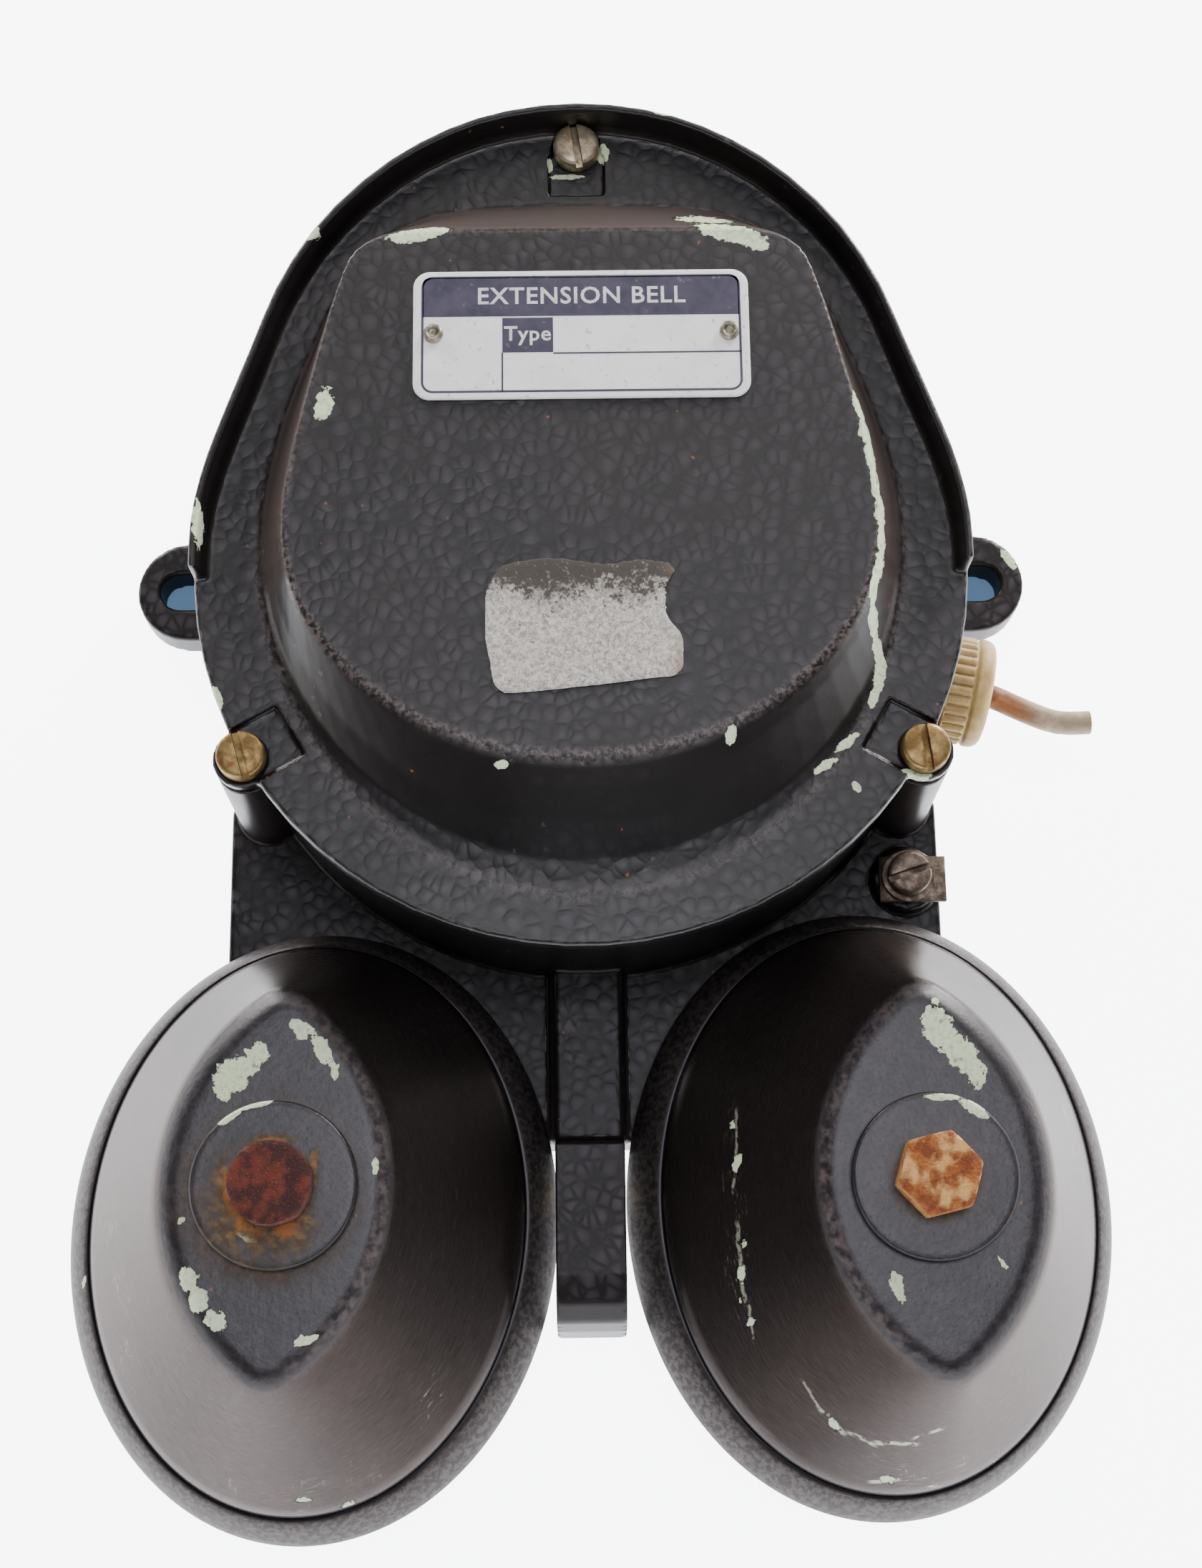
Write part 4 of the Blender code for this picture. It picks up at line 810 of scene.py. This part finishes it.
def hex_bolt(side, x, material, eased, rough):
    """Gong bolt: hexagon head with a domed top; eased rounds the hexagon off, rough eats into its surface."""
    def reach(t, r):
        if r <= BOLT_R + 0.1:
            return r
        flat = cos(pi / 6) / cos((t - HEX_TURN) % (pi / 3) - pi / 6)
        flat = flat + eased * (WORN_ROUND - flat)
        return min(r, CORNER * flat) if r < CORNER * 0.99 else CORNER * flat
    profile = [(BOLT_R, 18.4), (BOLT_R, 44.2), (BOLT_R, HEAD_BASE)]
    profile += [(CORNER * r, HEAD_BASE + a) for r, a in HEAD_PROFILE] + [(0.4, HEAD_BASE + 5.3)]
    turns = [2 * pi * i / 120 for i in range(120)]
    bm = loft_bm([[P(x + reach(t, r) * cos(t), a, POST_Z + reach(t, r) * sin(t)) for t in turns]
                  for r, a in profile])
    for v in bm.verts:
        if -v.co.y > (HEAD_BASE + 0.1) * MM:
            lump = abs(noise.noise(v.co * COARSE_RUST) * rough + noise.noise(v.co * FINE_RUST) * rough * 0.5) * MM
            away = Vector((v.co.x - x * MM, 0, v.co.z - POST_Z * MM))
            v.co -= away.normalized() * lump if away.length > 1e-6 else Vector()
            v.co.y += lump * 0.5
    finish_piece(new_piece("gong_bolt_head_" + side, bm, 34), "gong_bolt_" + side, material)


# spots on the gongs, each (x, depth, z, half x, half z, turn in degrees)
CHIPS_LEFT = [(-60.6, 41.5, -87.4, 3.6, 2.9, 32), (-56.6, 41.5, -84.4, 2.9, 2.3, 20),
              (-62.6, 41.4, -89.8, 1.7, 1.5, 20), (-49.3, 41.5, -79.6, 2.6, 1.3, -24),
              (-45.6, 41.3, -83, 1.3, 2.7, 30), (-43.4, 41, -86.8, 0.9, 1.4, 20),
              (-67.4, 41.4, -121.6, 1.7, 2.1, 20), (-65.6, 41.4, -125.2, 1.6, 2.2, -14),
              (-62.6, 41.4, -128.6, 2.3, 1.4, -36), (-36.2, 40.8, -103.2, 0.55, 1.6, 0),
              (-47.6, 41.2, -132, 2.2, 0.7, 20), (-68.8, 41.2, -112, 0.6, 0.8, 0), (-36.4, 27, -141.4, 0.7, 1.3, 0),
              (-52.7, 25.5, -149.4, 0.8, 1.2, 0), (-53, 24.9, -153.4, 0.8, 1.6, 0),
              (-49.4, 23.6, -157.9, 2.2, 0.6, 4), (-41.6, 23.6, -158.6, 1.5, 0.5, 24),
              (-88.8, 22.8, -120.6, 0.5, 0.8, 0)]
CHIPS_RIGHT = [(60.6, 41.5, -80.8, 2.6, 3.6, 20), (63.6, 41.5, -85, 4.3, 2.7, -40),
               (66.4, 41.4, -88.8, 2.4, 2, -40), (60.4, 41.4, -76.2, 0.8, 0.6, 0),
               (69.7, 41.3, -121.1, 0.7, 0.7, 0), (51.4, 41.4, -125, 0.9, 2.2, 32), (25.6, 30, -100.6, 0.28, 7, 4),
               (26.2, 29.5, -120.5, 0.45, 6, -4), (27.4, 28, -129.5, 0.3, 2.4, -10),
               (40.8, 28.2, -146.2, 3.2, 0.45, -50), (45.8, 26.4, -149, 2.4, 0.4, -30),
               (51.5, 25.8, -150, 3.2, 0.5, 6), (56.6, 26.2, -148.4, 2.6, 0.35, 16), (50, 24.8, -156, 2, 0.4, 2)]
SCUFFS_LEFT = [(-52, 25.5, -150, 16, 9, 0), (-80, 28, -122, 8, 16, 0), (-33, 27, -140, 8, 8, 0)]
SCUFFS_RIGHT = [(48, 26, -149, 13, 5, -8), (42, 28, -145.5, 6, 3, -45), (25.6, 29.5, -112, 2.4, 19, 0),
                (86, 28, -100, 7, 9, 0), (60, 25, -155, 14, 4, 0)]
DISC_CHIPS_LEFT = [(-60.8, 43.9, -94.9, 2.2, 0.7, 36), (-56.6, 43.9, -92.9, 3, 0.6, 12),
                   (-57.2, 44, -115.1, 1.8, 0.7, -20)]
DISC_CHIPS_RIGHT = [(60.4, 43.9, -93.2, 3, 0.6, -2), (65.6, 43.9, -95.2, 2.6, 1, -34)]
# rust on the left disc, from the bolt's middle
DISC_RUST = [(-2.6, -3.6, 8.2, 8.6, 0), (2, -7, 5, 4, 0), (-7.4, -1, 1.7, 5.4, 8), (-5, -6, 3.2, 1.8, -42),
             (-0.5, 7.4, 4, 0.9, 0), (7, 3, 0.9, 3, 0)]


def gongs():
    gong("left", LEFT_X, (4.3, -5.9), (-radians(CROWN_LEAN), -radians(4.5)), CHIPS_LEFT,
         [(LEFT_X - 1, GONG_TOP, POST_Z - 1.5, 12, 12, 0)], SCUFFS_LEFT)
    disc("left", LEFT_X, DISC_CHIPS_LEFT, [(LEFT_X + x, 44, POST_Z + z, *size) for x, z, *size in DISC_RUST])
    deep = rusty("rust_deep", -0.2, (0.036, 0.007, 0.006), (0.125, 0.022, 0.011), (0.3, 0.16, 0.1))
    hex_bolt("left", LEFT_X, deep, 0.72, 0.22)
    gong("right", RIGHT_X, (-8.55, -3.4), (radians(CROWN_LEAN), radians(3.2)), CHIPS_RIGHT,
         [(RIGHT_X, GONG_TOP, POST_Z, 3, 3, 0)], SCUFFS_RIGHT)
    disc("right", RIGHT_X, DISC_CHIPS_RIGHT, [(RIGHT_X, 44, POST_Z - 0.6, 6, 5.6, 0)])
    plated = rusty("rust_plated", 0.16, (0.2, 0.048, 0.01), (0.4, 0.135, 0.028), (0.56, 0.31, 0.105))
    hex_bolt("right", RIGHT_X, plated, 0, 0.05)


# ---------------------------------------------------------------- screws
SCREW_SHANK = 2.5
# upper part of a screw head, as shares of its radius and height
SCREW_CROWN = ((1, 0.72), (0.985, 0.82), (0.94, 0.91), (0.85, 0.965), (0.6, 1), (0.2, 1))


def slotted_screw(node, r, h, sunk, slot, material, shank):
    """Cheese head with a slightly domed top, eased edges and a slot with worn lips."""
    low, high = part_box(node)
    seat = Vector(((low.x + high.x) / 2, low.y + sunk * MM, (low.z + high.z) / 2))
    profile = [(SCREW_SHANK, a) for a in (-shank, -0.1, 0)] + [(r * 0.985, 0), (r, 0.12)]
    profile += [(r * out, h * up) for out, up in SCREW_CROWN] + [(0.05, h)]
    obj = new_piece(node + "_head", loft_bm(lathe_rings(profile, seat, 72)), 40)
    turned = axes(seat, OUT) @ Matrix.Rotation(radians(slot), 4, "Z")
    cut(obj, box_bm((-r * 1.3, -0.15 * r, h * 0.52), (r * 1.3, 0.15 * r, h + 2), turned))
    bevel(obj, 0.1, 2, 40, 45)
    finish_piece(obj, node, material)


def screws():
    grey = worn_metal("screw_grey_zinc", (0.47, 0.41, 0.31), (0.24, 0.19, 0.12), 0.4, 0.85, rust=0.03, scale=340)
    yellow = worn_metal("screw_yellow_zinc", (0.34, 0.235, 0.095), (0.13, 0.078, 0.028), 0.36, 0.85, rust=0.06,
                        scale=340, grain=(1, 1, 9))
    brown = worn_metal("screw_brown", (0.2, 0.155, 0.115), (0.08, 0.058, 0.046), 0.42, 0.8, scale=500)
    tinned = worn_metal("clamp_tinned", (0.19, 0.15, 0.11), (0.08, 0.06, 0.048), 0.45, 0.8, scale=600)
    for side, slot, zinc in (("top", -82, grey), ("left", -75, yellow), ("right", -83, yellow)):
        slotted_screw("cover_screw_" + side, 4.25, 3.28, 3.3, slot, zinc, 20)
    slotted_screw("earth_screw", 4, 2.98, 3, 18, brown, 11)
    skin("earth_clamp", tinned, 0.18)
    skin("earth_washer", brown, 0.12)


# ---------------------------------------------------------------- name plate and label
PLATE_X, PLATE_Z, PLATE_W, PLATE_H = 0.5, 40.3, 29.8, 12.3
CORNER_STEPS, RIVET_X, INK, LINE = 10, 26.2, 0.03, 0.42
# how far the plate's section is in from its edge, and how far down from its front
PLATE_SECTION = ((0.05, 0.8), (0, 0.7), (0, 0.3), (0.08, 0.12), (0.24, 0.04), (0.9, 0.04),
                 (1.1, 0.06), (1.2, 0.06))
# rivets: rolled over tubular heads with a dished middle
RIVET_PROFILE = [(1, -3), (1, 0), (1.66, 0), (1.74, 0.2), (1.7, 0.55), (1.45, 0.8), (1.15, 0.86), (0.9, 0.72),
                 (0.8, 0.35), (0.3, 0.25), (0.05, 0.25)]


def on_plate(x, d, z):
    return P(PLATE_X + x, d, PLATE_Z + z)


def rounded_rect(w, h, r):
    return [(sx * (w - r) + r * cos(t), sz * (h - r) + r * sin(t))
            for sx, sz, start in ((1, 1, 0), (-1, 1, 90), (-1, -1, 180), (1, -1, 270))
            for t in (radians(start + 90 * k / CORNER_STEPS) for k in range(CORNER_STEPS + 1))]


def flat_print(name, outlines, d, material):
    """Ink: very thin slabs standing on the plate, one closed form for each outline."""
    bm = bmesh.new()
    for outline in outlines:
        loft_bm([[on_plate(x, depth, z) for x, z in outline] for depth in (d, d + INK)], bm=bm)
    finish_piece(new_piece(name, bm, 30), "name_plate", material, stands=False)


def frame_print(name, w, h, r, d, material):
    """Ink: a thin frame with rounded corners."""
    outer, inner = rounded_rect(w, h, r), rounded_rect(w - LINE, h - LINE, r - LINE)
    rings = [[on_plate(x, depth, z) for x, z in ring]
             for ring, depth in ((outer, d), (outer, d + INK), (inner, d + INK), (inner, d))]
    finish_piece(new_piece(name, loft_bm(rings, closed=True), 30), "name_plate", material, stands=False)


def lettering(name, words, size, x, z, d, material):
    """Plain generic words, centred, as very thin raised letters."""
    curve = bpy.data.curves.new(name, "FONT")
    curve.body, curve.size = words, size * MM
    curve.align_x, curve.align_y = "CENTER", "CENTER"
    curve.extrude, curve.offset, curve.resolution_u = 0.00001, 0.00007, 3
    curve.space_character = 1.08
    text = add_object(name + "_text", curve)
    bpy.context.view_layer.update()
    mesh = bpy.data.meshes.new_from_object(text.evaluated_get(bpy.context.evaluated_depsgraph_get()))
    bpy.data.objects.remove(text, do_unlink=True)
    mesh.transform(Matrix.Translation(on_plate(x, d + 0.012, z)) @ Matrix.Rotation(pi / 2, 4, "X"))
    finish_piece(add_object(name, mesh), "name_plate", material, stands=False)


def plate_materials():
    s = Shader("plate_face")
    brushed = s.noise(1500, 3, vector=s.stretched(0.06, 1, 1))
    colour = s.over((0.985, 0.975, 0.985), (0.9, 0.885, 0.88), s.noise(130, 5, 0.62), 0.4, 0.66)
    colour = s.over(colour, (0.93, 0.92, 0.93), brushed, 0.42, 0.62, 0.3)
    colour = s.over(colour, (0.24, 0.22, 0.19), s.noise(900, 4), 0.62, 0.72, 0.5)
    face = s.set(colour=colour, rough=s.ramp(brushed, 0.3, 0.7, 0.36, 0.5), metal=0.05,
                 normal=s.bump(brushed, 0.00003, 0.6))
    s = Shader("plate_ink")
    ink = s.over((0.035, 0.032, 0.062), (0.058, 0.052, 0.088), s.noise(140, 3), 0.3, 0.7)
    wear = s.ramp(s.noise(520, 5, 0.65), 0.6, 0.74)
    ink = s.set(colour=s.mix(s.times(wear, 0.35), ink, (0.34, 0.33, 0.34)),
                rough=s.ramp(s.noise(800, 3), 0.3, 0.7, 0.32, 0.5),
                normal=s.bump(s.noise(2500, 2), 0.00002, 0.5))
    s = Shader("plate_letters")
    pale = s.set(colour=s.over((0.8, 0.79, 0.8), (0.62, 0.61, 0.61), s.noise(900, 3), 0.3, 0.7),
                 rough=s.ramp(s.noise(600, 2), 0.3, 0.7, 0.4, 0.55), metal=0.2)
    return face, ink, pale


def plate():
    face, ink, pale = plate_materials()
    front = -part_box("name_plate")[0].y / MM
    rings = [[on_plate(x, front - down, z) for x, z in rounded_rect(PLATE_W - grow, PLATE_H - grow, 3 - grow * 0.5)]
             for grow, down in PLATE_SECTION]
    obj = new_piece("name_plate_face", loft_bm(rings), 40)
    for side in (-1, 1):
        cut(obj, loft_bm(lathe_rings([(1.3, front - 3), (1.3, front + 3)], on_plate(side * RIVET_X, 0, 0), 40)))
    finish_piece(obj, "name_plate", face)
    level = front - 0.055
    frame_print("plate_print_frame", 28.35, 11.25, 2.1, level, ink)
    band = [(-28.1, 3.4), (28.1, 3.4)]
    for corner, start in ((27, 0), (-27, 90)):
        turns = [radians(start + a) for a in range(0, 91, 15)]
        band += [(corner + 1.1 * cos(t), 9.9 + 1.1 * sin(t)) for t in turns]
    flat_print("plate_print_band", [band], level, ink)
    flat_print("plate_print_cell", [[(-14, -3.6), (-5, -3.6), (-5, 3.1), (-14, 3.1)]], level, ink)
    flat_print("plate_print_lines", [[(-5, -3.95), (28.1, -3.95), (28.1, -3.65), (-5, -3.65)],
                                     [(-14.15, -11), (-13.85, -11), (-13.85, -3.6), (-14.15, -3.6)]], level, ink)
    lettering("plate_words_band", "EXTENSION BELL", 4.5, 0, 7.2, level + INK, pale)
    lettering("plate_words_cell", "Type", 3.9, -9.5, -0.1, level + INK, pale)
    dull = worn_metal("rivet_dull", (0.4, 0.37, 0.28), (0.14, 0.12, 0.09), 0.38, 0.85, scale=700)
    profile = [(r, front + 0.3 + a) for r, a in RIVET_PROFILE]
    for node, side in (("plate_rivet_left", -1), ("plate_rivet_right", 1)):
        obj = new_piece(node + "_head", loft_bm(lathe_rings(profile, on_plate(side * RIVET_X, 0, 0), 48)), 50)
        finish_piece(obj, node, dull)


# torn edge of the label, as (x, z) knots, and the middle that its rows shrink towards
TORN = [(-15.5, -5.4), (-12.7, -2.5), (-4, -1.6), (3.4, -2.7), (10.8, -2), (15.7, -3.4), (14.5, -7.2),
        (14.6, -12.4), (16.9, -15.9), (17.2, -19.6), (16.9, -22), (15.4, -23.3), (12.2, -23.6), (3.1, -24.7),
        (-11.2, -26), (-13.9, -25.6), (-15.2, -24), (-15.8, -20.4), (-16.6, -15.8), (-16.6, -9.3)]
LABEL_MID_Z, LABEL_INSET = -14.5, 0.02


def label_paper():
    s = Shader("label_paper")
    fibre, speck, stain = s.noise(1300, 6, 0.7), s.noise(3200, 3, 0.6), s.noise(110, 4, 0.6)
    where = s.parts(s.where)
    near_top = s.ramp(s.plus(where[2], s.swing(stain, 0.012)), -0.0125, -0.002)
    colour = s.over((0.33, 0.31, 0.28), (0.72, 0.69, 0.64), fibre, 0.34, 0.66)
    colour = s.over(colour, (0.085, 0.08, 0.078), speck, 0.56, 0.66, 0.75)
    colour = s.mix(s.times(near_top, 0.8), colour, (0.1, 0.086, 0.068))
    residue = s.plus(s.noise(1000, 5, 0.7), s.times(near_top, 0.3))
    colour = s.over(colour, (0.05, 0.042, 0.036), residue, 0.6, 0.72, 0.92)
    edge_stain = s.ramp(s.plus(where[0], s.swing(stain, 0.014)), 0.0135, 0.0185)
    colour = s.mix(s.times(edge_stain, 0.6), colour, (0.22, 0.16, 0.1))
    return s.set(colour=colour, rough=0.92, normal=s.bump(s.plus(fibre, speck), 0.00006, 0.8), sheen=0.1)


def label():
    """Torn paper label: ragged outline, a slightly cockled sheet."""
    low, high = (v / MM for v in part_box("paper_label"))
    back, front = -high.y, -low.y

    def lump(x, z, scale, seed):
        return noise.noise(Vector((x * scale, z * scale, seed)))
    edge = []
    for x, z in closed_spline(TORN, 10):
        wild = 0.32 if z > -12 else 0.1
        x += wild * lump(x, z, 1.3, 0) + wild * 0.6 * lump(x, z, 4, 7)
        z += wild * lump(x, z, 1.3, 5) - (0.25 if z > -8 else 0)
        edge.append((min(max(x, low.x + LABEL_INSET), high.x - LABEL_INSET),
                     min(max(z, low.z + LABEL_INSET), high.z - LABEL_INSET)))
    rings = []
    for f, d in ((0.995, back + 0.02), (1, back + 0.12), (0.995, back + 0.2),
                 *((0.98 - 0.08 * k, front - 0.04) for k in range(12))):
        rings.append([P(x * f, d + (0.03 * lump(x * f, z * f, 0.4, 1) if f < 0.99 else 0),
                        LABEL_MID_Z + (z - LABEL_MID_Z) * f) for x, z in edge])
    finish_piece(new_piece("label_sheet", loft_bm(rings), 60), "paper_label", label_paper())


# ---------------------------------------------------------------- gland and cable
NUT_RIBS, RIB_DEPTH, NUT_BORE = 30, 0.055, CABLE_R + 0.4
NUT_PROFILE = [(7.3, 68.75), (9.7, 68.75), (10, 68.9), (10.05, 69.2), *((10.1, 69.4 + 0.35 * k) for k in range(12)),
               (9.85, 73.5), (9.75, 73.7), (9.78, 74), (10.1, 74.2), (10.2, 74.6), (10.18, 75.4), (10, 76.1),
               (9.6, 76.75), (9, 77.15), (8.2, 77.36), (7.2, 77.4), (3.4, 77.4), (2.9, 77.3), (NUT_BORE, 77.1),
               (NUT_BORE, 75.3), (7.3, 75.25)]


def gland():
    s = Shader("ivory_plastic")
    cloud, grime = s.noise(210, 5, 0.6), s.noise(900, 5, 0.65)
    colour = s.over((0.6, 0.41, 0.155), (0.45, 0.28, 0.09), cloud, 0.36, 0.66)
    colour = s.over(colour, (0.2, 0.13, 0.065), grime, 0.56, 0.74, 0.65)
    colour = s.mix(s.times(s.ramp(s.edge(), 0.5, 0.42), 0.8), colour, (0.16, 0.105, 0.05))
    ivory = s.set(colour=colour, rough=s.ramp(cloud, 0.3, 0.7, 0.38, 0.54), normal=s.bump(grime, 0.00008, 0.7),
                  subsurface=0.08)
    s.bsdf.inputs["Subsurface Radius"].default_value = (0.001, 0.0007, 0.0004)

    def ribbed(t, r, a):
        """Ribs on the nut's grip, between its two collars."""
        on_grip = 69.25 < a < 73.4 and r > 9.9
        return 1 - RIB_DEPTH * (0.5 + 0.5 * cos(NUT_RIBS * t)) ** 2 if on_grip else 1
    axis = (cos(GLAND_ANGLE), 0, sin(GLAND_ANGLE))
    rings = lathe_rings(NUT_PROFILE, P(0, GLAND_D, 0), 240, axis, ribbed)
    finish_piece(new_piece("gland_nut_body", loft_bm(rings, closed=True), 55), "gland_nut", ivory)
    skin("gland_sleeve", ivory, 0.2)


def sheath():
    """Cable sheath: rust-stained by the gland, then dirty ivory."""
    s = Shader("cable_pvc")
    smear = s.noise(300, 5, 0.62)
    along = s.plus(s.parts(s.where)[0], s.swing(smear, 0.012))
    clean = s.over((0.55, 0.44, 0.29), (0.36, 0.27, 0.16), s.noise(260, 4), 0.35, 0.65)
    stain = s.over((0.3, 0.125, 0.036), (0.16, 0.055, 0.018), smear, 0.35, 0.62)
    colour = s.over(stain, clean, along, 0.0795, 0.0865)
    colour = s.over(colour, (0.13, 0.085, 0.05), s.noise(1500, 4), 0.58, 0.7, 0.6)
    cable_obj.data.materials.append(s.set(colour=colour, rough=s.ramp(smear, 0.3, 0.7, 0.45, 0.65),
                                          normal=s.bump(s.noise(900, 4), 0.0001, 0.7)))


# ---------------------------------------------------------------- everything else
# bevels in mm for the plain pieces that don't take the usual one
USUAL_BEVEL = 0.12
BEVELS = {"armature": 0.3, "yoke": 0.4, "chassis_plate": 0.2, "bearing_bridge": 0.3, "magnet": 0.3,
          "terminal_block": 0.4, "capacitor": 0.3, "gong_washer_left": 0.15, "gong_washer_right": 0.15,
          "rod_seal": 0.3, "winding_left": 0, "winding_right": 0, "clapper_rod": 0, "striker_ball": 0,
          "cover_gasket": 0}


def hidden_and_small():
    rubber = plain_stuff("rubber_black", (0.018, 0.018, 0.019), (0.03, 0.028, 0.027), 0.75)
    fibre = plain_stuff("fibre_red", (0.16, 0.05, 0.03), (0.1, 0.035, 0.025), 0.7, depth=0.00008)
    phenolic = plain_stuff("phenolic_dark", (0.035, 0.018, 0.012), (0.055, 0.028, 0.018), 0.36)
    zinc = worn_metal("zinc_dull", (0.5, 0.49, 0.46), (0.28, 0.27, 0.25), 0.36, 0.95)
    steel = worn_metal("steel_plated", (0.44, 0.44, 0.43), (0.25, 0.24, 0.23), 0.38, 1, grain=(1, 1, 12))
    iron = worn_metal("iron_soft", (0.26, 0.26, 0.27), (0.14, 0.13, 0.13), 0.5, 0.95)
    magnet = worn_metal("magnet_alloy", (0.16, 0.16, 0.18), (0.08, 0.08, 0.09), 0.5)
    brass = worn_metal("brass_dull", (0.56, 0.43, 0.19), (0.28, 0.19, 0.07), 0.32, 1)
    can = worn_metal("can_aluminium", (0.56, 0.56, 0.57), (0.38, 0.38, 0.39), 0.36, 1, grain=(14, 1, 1))
    w = Shader("winding_wire")
    turns = w.noise(1, 0, vector=w.stretched(20, 20, 5200))
    wire = w.set(colour=w.mix(turns, (0.28, 0.07, 0.02), (0.46, 0.16, 0.05)), metal=0.8,
                 rough=w.ramp(turns, 0.3, 0.7, 0.25, 0.45), normal=w.bump(turns, 0.0001, 0.8))
    small_screws = [node for node in nodes if node.startswith(("chassis_screw", "core_screw", "bridge_screw"))]
    for material, names in (
            (rubber, ("cover_gasket", "gland_seal", "rod_seal")),
            (fibre, ("gong_washer_left", "gong_washer_right")),
            (phenolic, ("bobbin_left", "bobbin_right", "terminal_block")), (wire, ("winding_left", "winding_right")),
            (iron, ("yoke", "core_left", "core_right", "armature")), (magnet, ("magnet",)),
            (steel, ("chassis_plate", "bearing_bridge", "capacitor_clamp", "pivot_pin")), (can, ("capacitor",)),
            (brass, ("striker_ball", "terminal_screw_1", "terminal_screw_2", "terminal_screw_3")),
            (steel, ("clapper_rod",)), (zinc, small_screws)):
        for node in names:
            skin(node, material, BEVELS.get(node, USUAL_BEVEL))


gong_material = gong_finish("gong_lacquered_steel")
castings()
gongs()
screws()
plate()
label()
gland()
sheath()
hidden_and_small()


# ---------------------------------------------------------------- stage and light
WALL_Y, STAGE_REACH, STAGE_FRONT, FLOOR_Z = 0.0006, 4, -0.45, -0.9
SLOT_X, SLOT_Z, SLOT_HALF_X, SLOT_HALF_Z, SHADE_EDGE = 0.077, 0.0128, 0.008, 0.0055, 0.0006


def wall_paper():
    """Pale glowing paper, seen through from behind, in shade behind the two lug slots."""
    s = Shader("stage_wall")
    x = s.minus(s.size(s.dot((1, 0, 0))), SLOT_X)
    z = s.minus(s.dot((0, 0, 1)), SLOT_Z)
    shade = s.times(s.ramp(s.size(x), SLOT_HALF_X, SLOT_HALF_X - SHADE_EDGE),
                    s.ramp(s.size(z), SLOT_HALF_Z, SLOT_HALF_Z - SHADE_EDGE))
    s.set(colour=s.mix(shade, (0.86, 0.875, 0.9), (0.03, 0.05, 0.08)), rough=0.9,
          normal=s.bump(s.noise(400, 4), 0.0001, 0.3))
    s.put(s.bsdf.inputs["Emission Color"], s.mix(shade, (0.93, 0.95, 1), (0.012, 0.022, 0.036)))
    seen = s.node("ShaderNodeLightPath").outputs["Is Camera Ray"]
    s.put(s.bsdf.inputs["Emission Strength"], s.blend(seen, 4.2, 7.5))
    both = s.fill(s.node("ShaderNodeMixShader"), 0, s.node("ShaderNodeNewGeometry").outputs["Backfacing"],
                  s.bsdf.outputs[0], s.node("ShaderNodeBsdfTransparent").outputs[0])
    s.put(s.tree.nodes["Material Output"].inputs["Surface"], both.outputs[0])
    return s.mat


def stage():
    s = Shader("stage_floor")
    floor = s.set(colour=(0.84, 0.85, 0.87), rough=s.ramp(s.noise(30, 3), 0.3, 0.7, 0.85, 0.95))
    for name, material, near, far in (("stage_wall", wall_paper(), (WALL_Y, FLOOR_Z), (WALL_Y, STAGE_REACH)),
                                      ("stage_floor", floor, (STAGE_FRONT, FLOOR_Z), (WALL_Y, FLOOR_Z))):
        corners = [(-STAGE_REACH, *near), (STAGE_REACH, *near), (STAGE_REACH, *far), (-STAGE_REACH, *far)]
        mesh = bpy.data.meshes.new(name)
        mesh.from_pydata(corners, [], [(0, 1, 2, 3)])
        mesh.materials.append(material)
        add_object(name, mesh)


def area(name, at, aim, size, power, colour):
    light = bpy.data.lights.new(name, "AREA")
    light.shape = "RECTANGLE"
    light.size, light.size_y = size
    light.energy = power
    light.color = colour
    obj = add_object(name, light)
    obj.location = at
    obj.rotation_euler = (Vector(aim) - Vector(at)).to_track_quat("-Z", "Y").to_euler()


WARM, COOL = (1, 0.97, 0.94), (0.93, 0.92, 1)


def lights():
    world = bpy.data.worlds.new("studio")
    bpy.context.scene.world = world
    world.use_nodes = True
    w = Nodes(world.node_tree, "Generated")
    background = w.tree.nodes["Background"]
    split = w.parts(w.where)
    glow = w.ramp(w.math("MULTIPLY_ADD", split[2], -0.27, split[1]), -0.36, -0.1, 0.05, 2.9)
    # the studio is dark in front of the bell; seen directly, its far side is plain pale paper
    seen = w.node("ShaderNodeLightPath").outputs["Is Camera Ray"]
    w.put(background.inputs["Color"], (1, 0.945, 0.92))
    w.put(background.inputs["Strength"], w.blend(seen, glow, 5))
    area("light_top_left", (-0.7, -0.34, 1.05), (0, -0.03, 0), (0.6, 0.25), 13, WARM)
    area("light_top_right", (0.75, -0.34, 1), (0, -0.03, 0), (0.7, 0.25), 23, WARM)
    area("light_fill", (0.1, -0.95, 0.95), (0, -0.03, 0.02), (0.6, 0.5), 3.5, (1, 0.97, 0.95))
    area("light_window", (0.05, -1.3, 0.02), (0, -0.03, -0.03), (0.7, 0.5), 8.2, COOL)


stage()
lights()
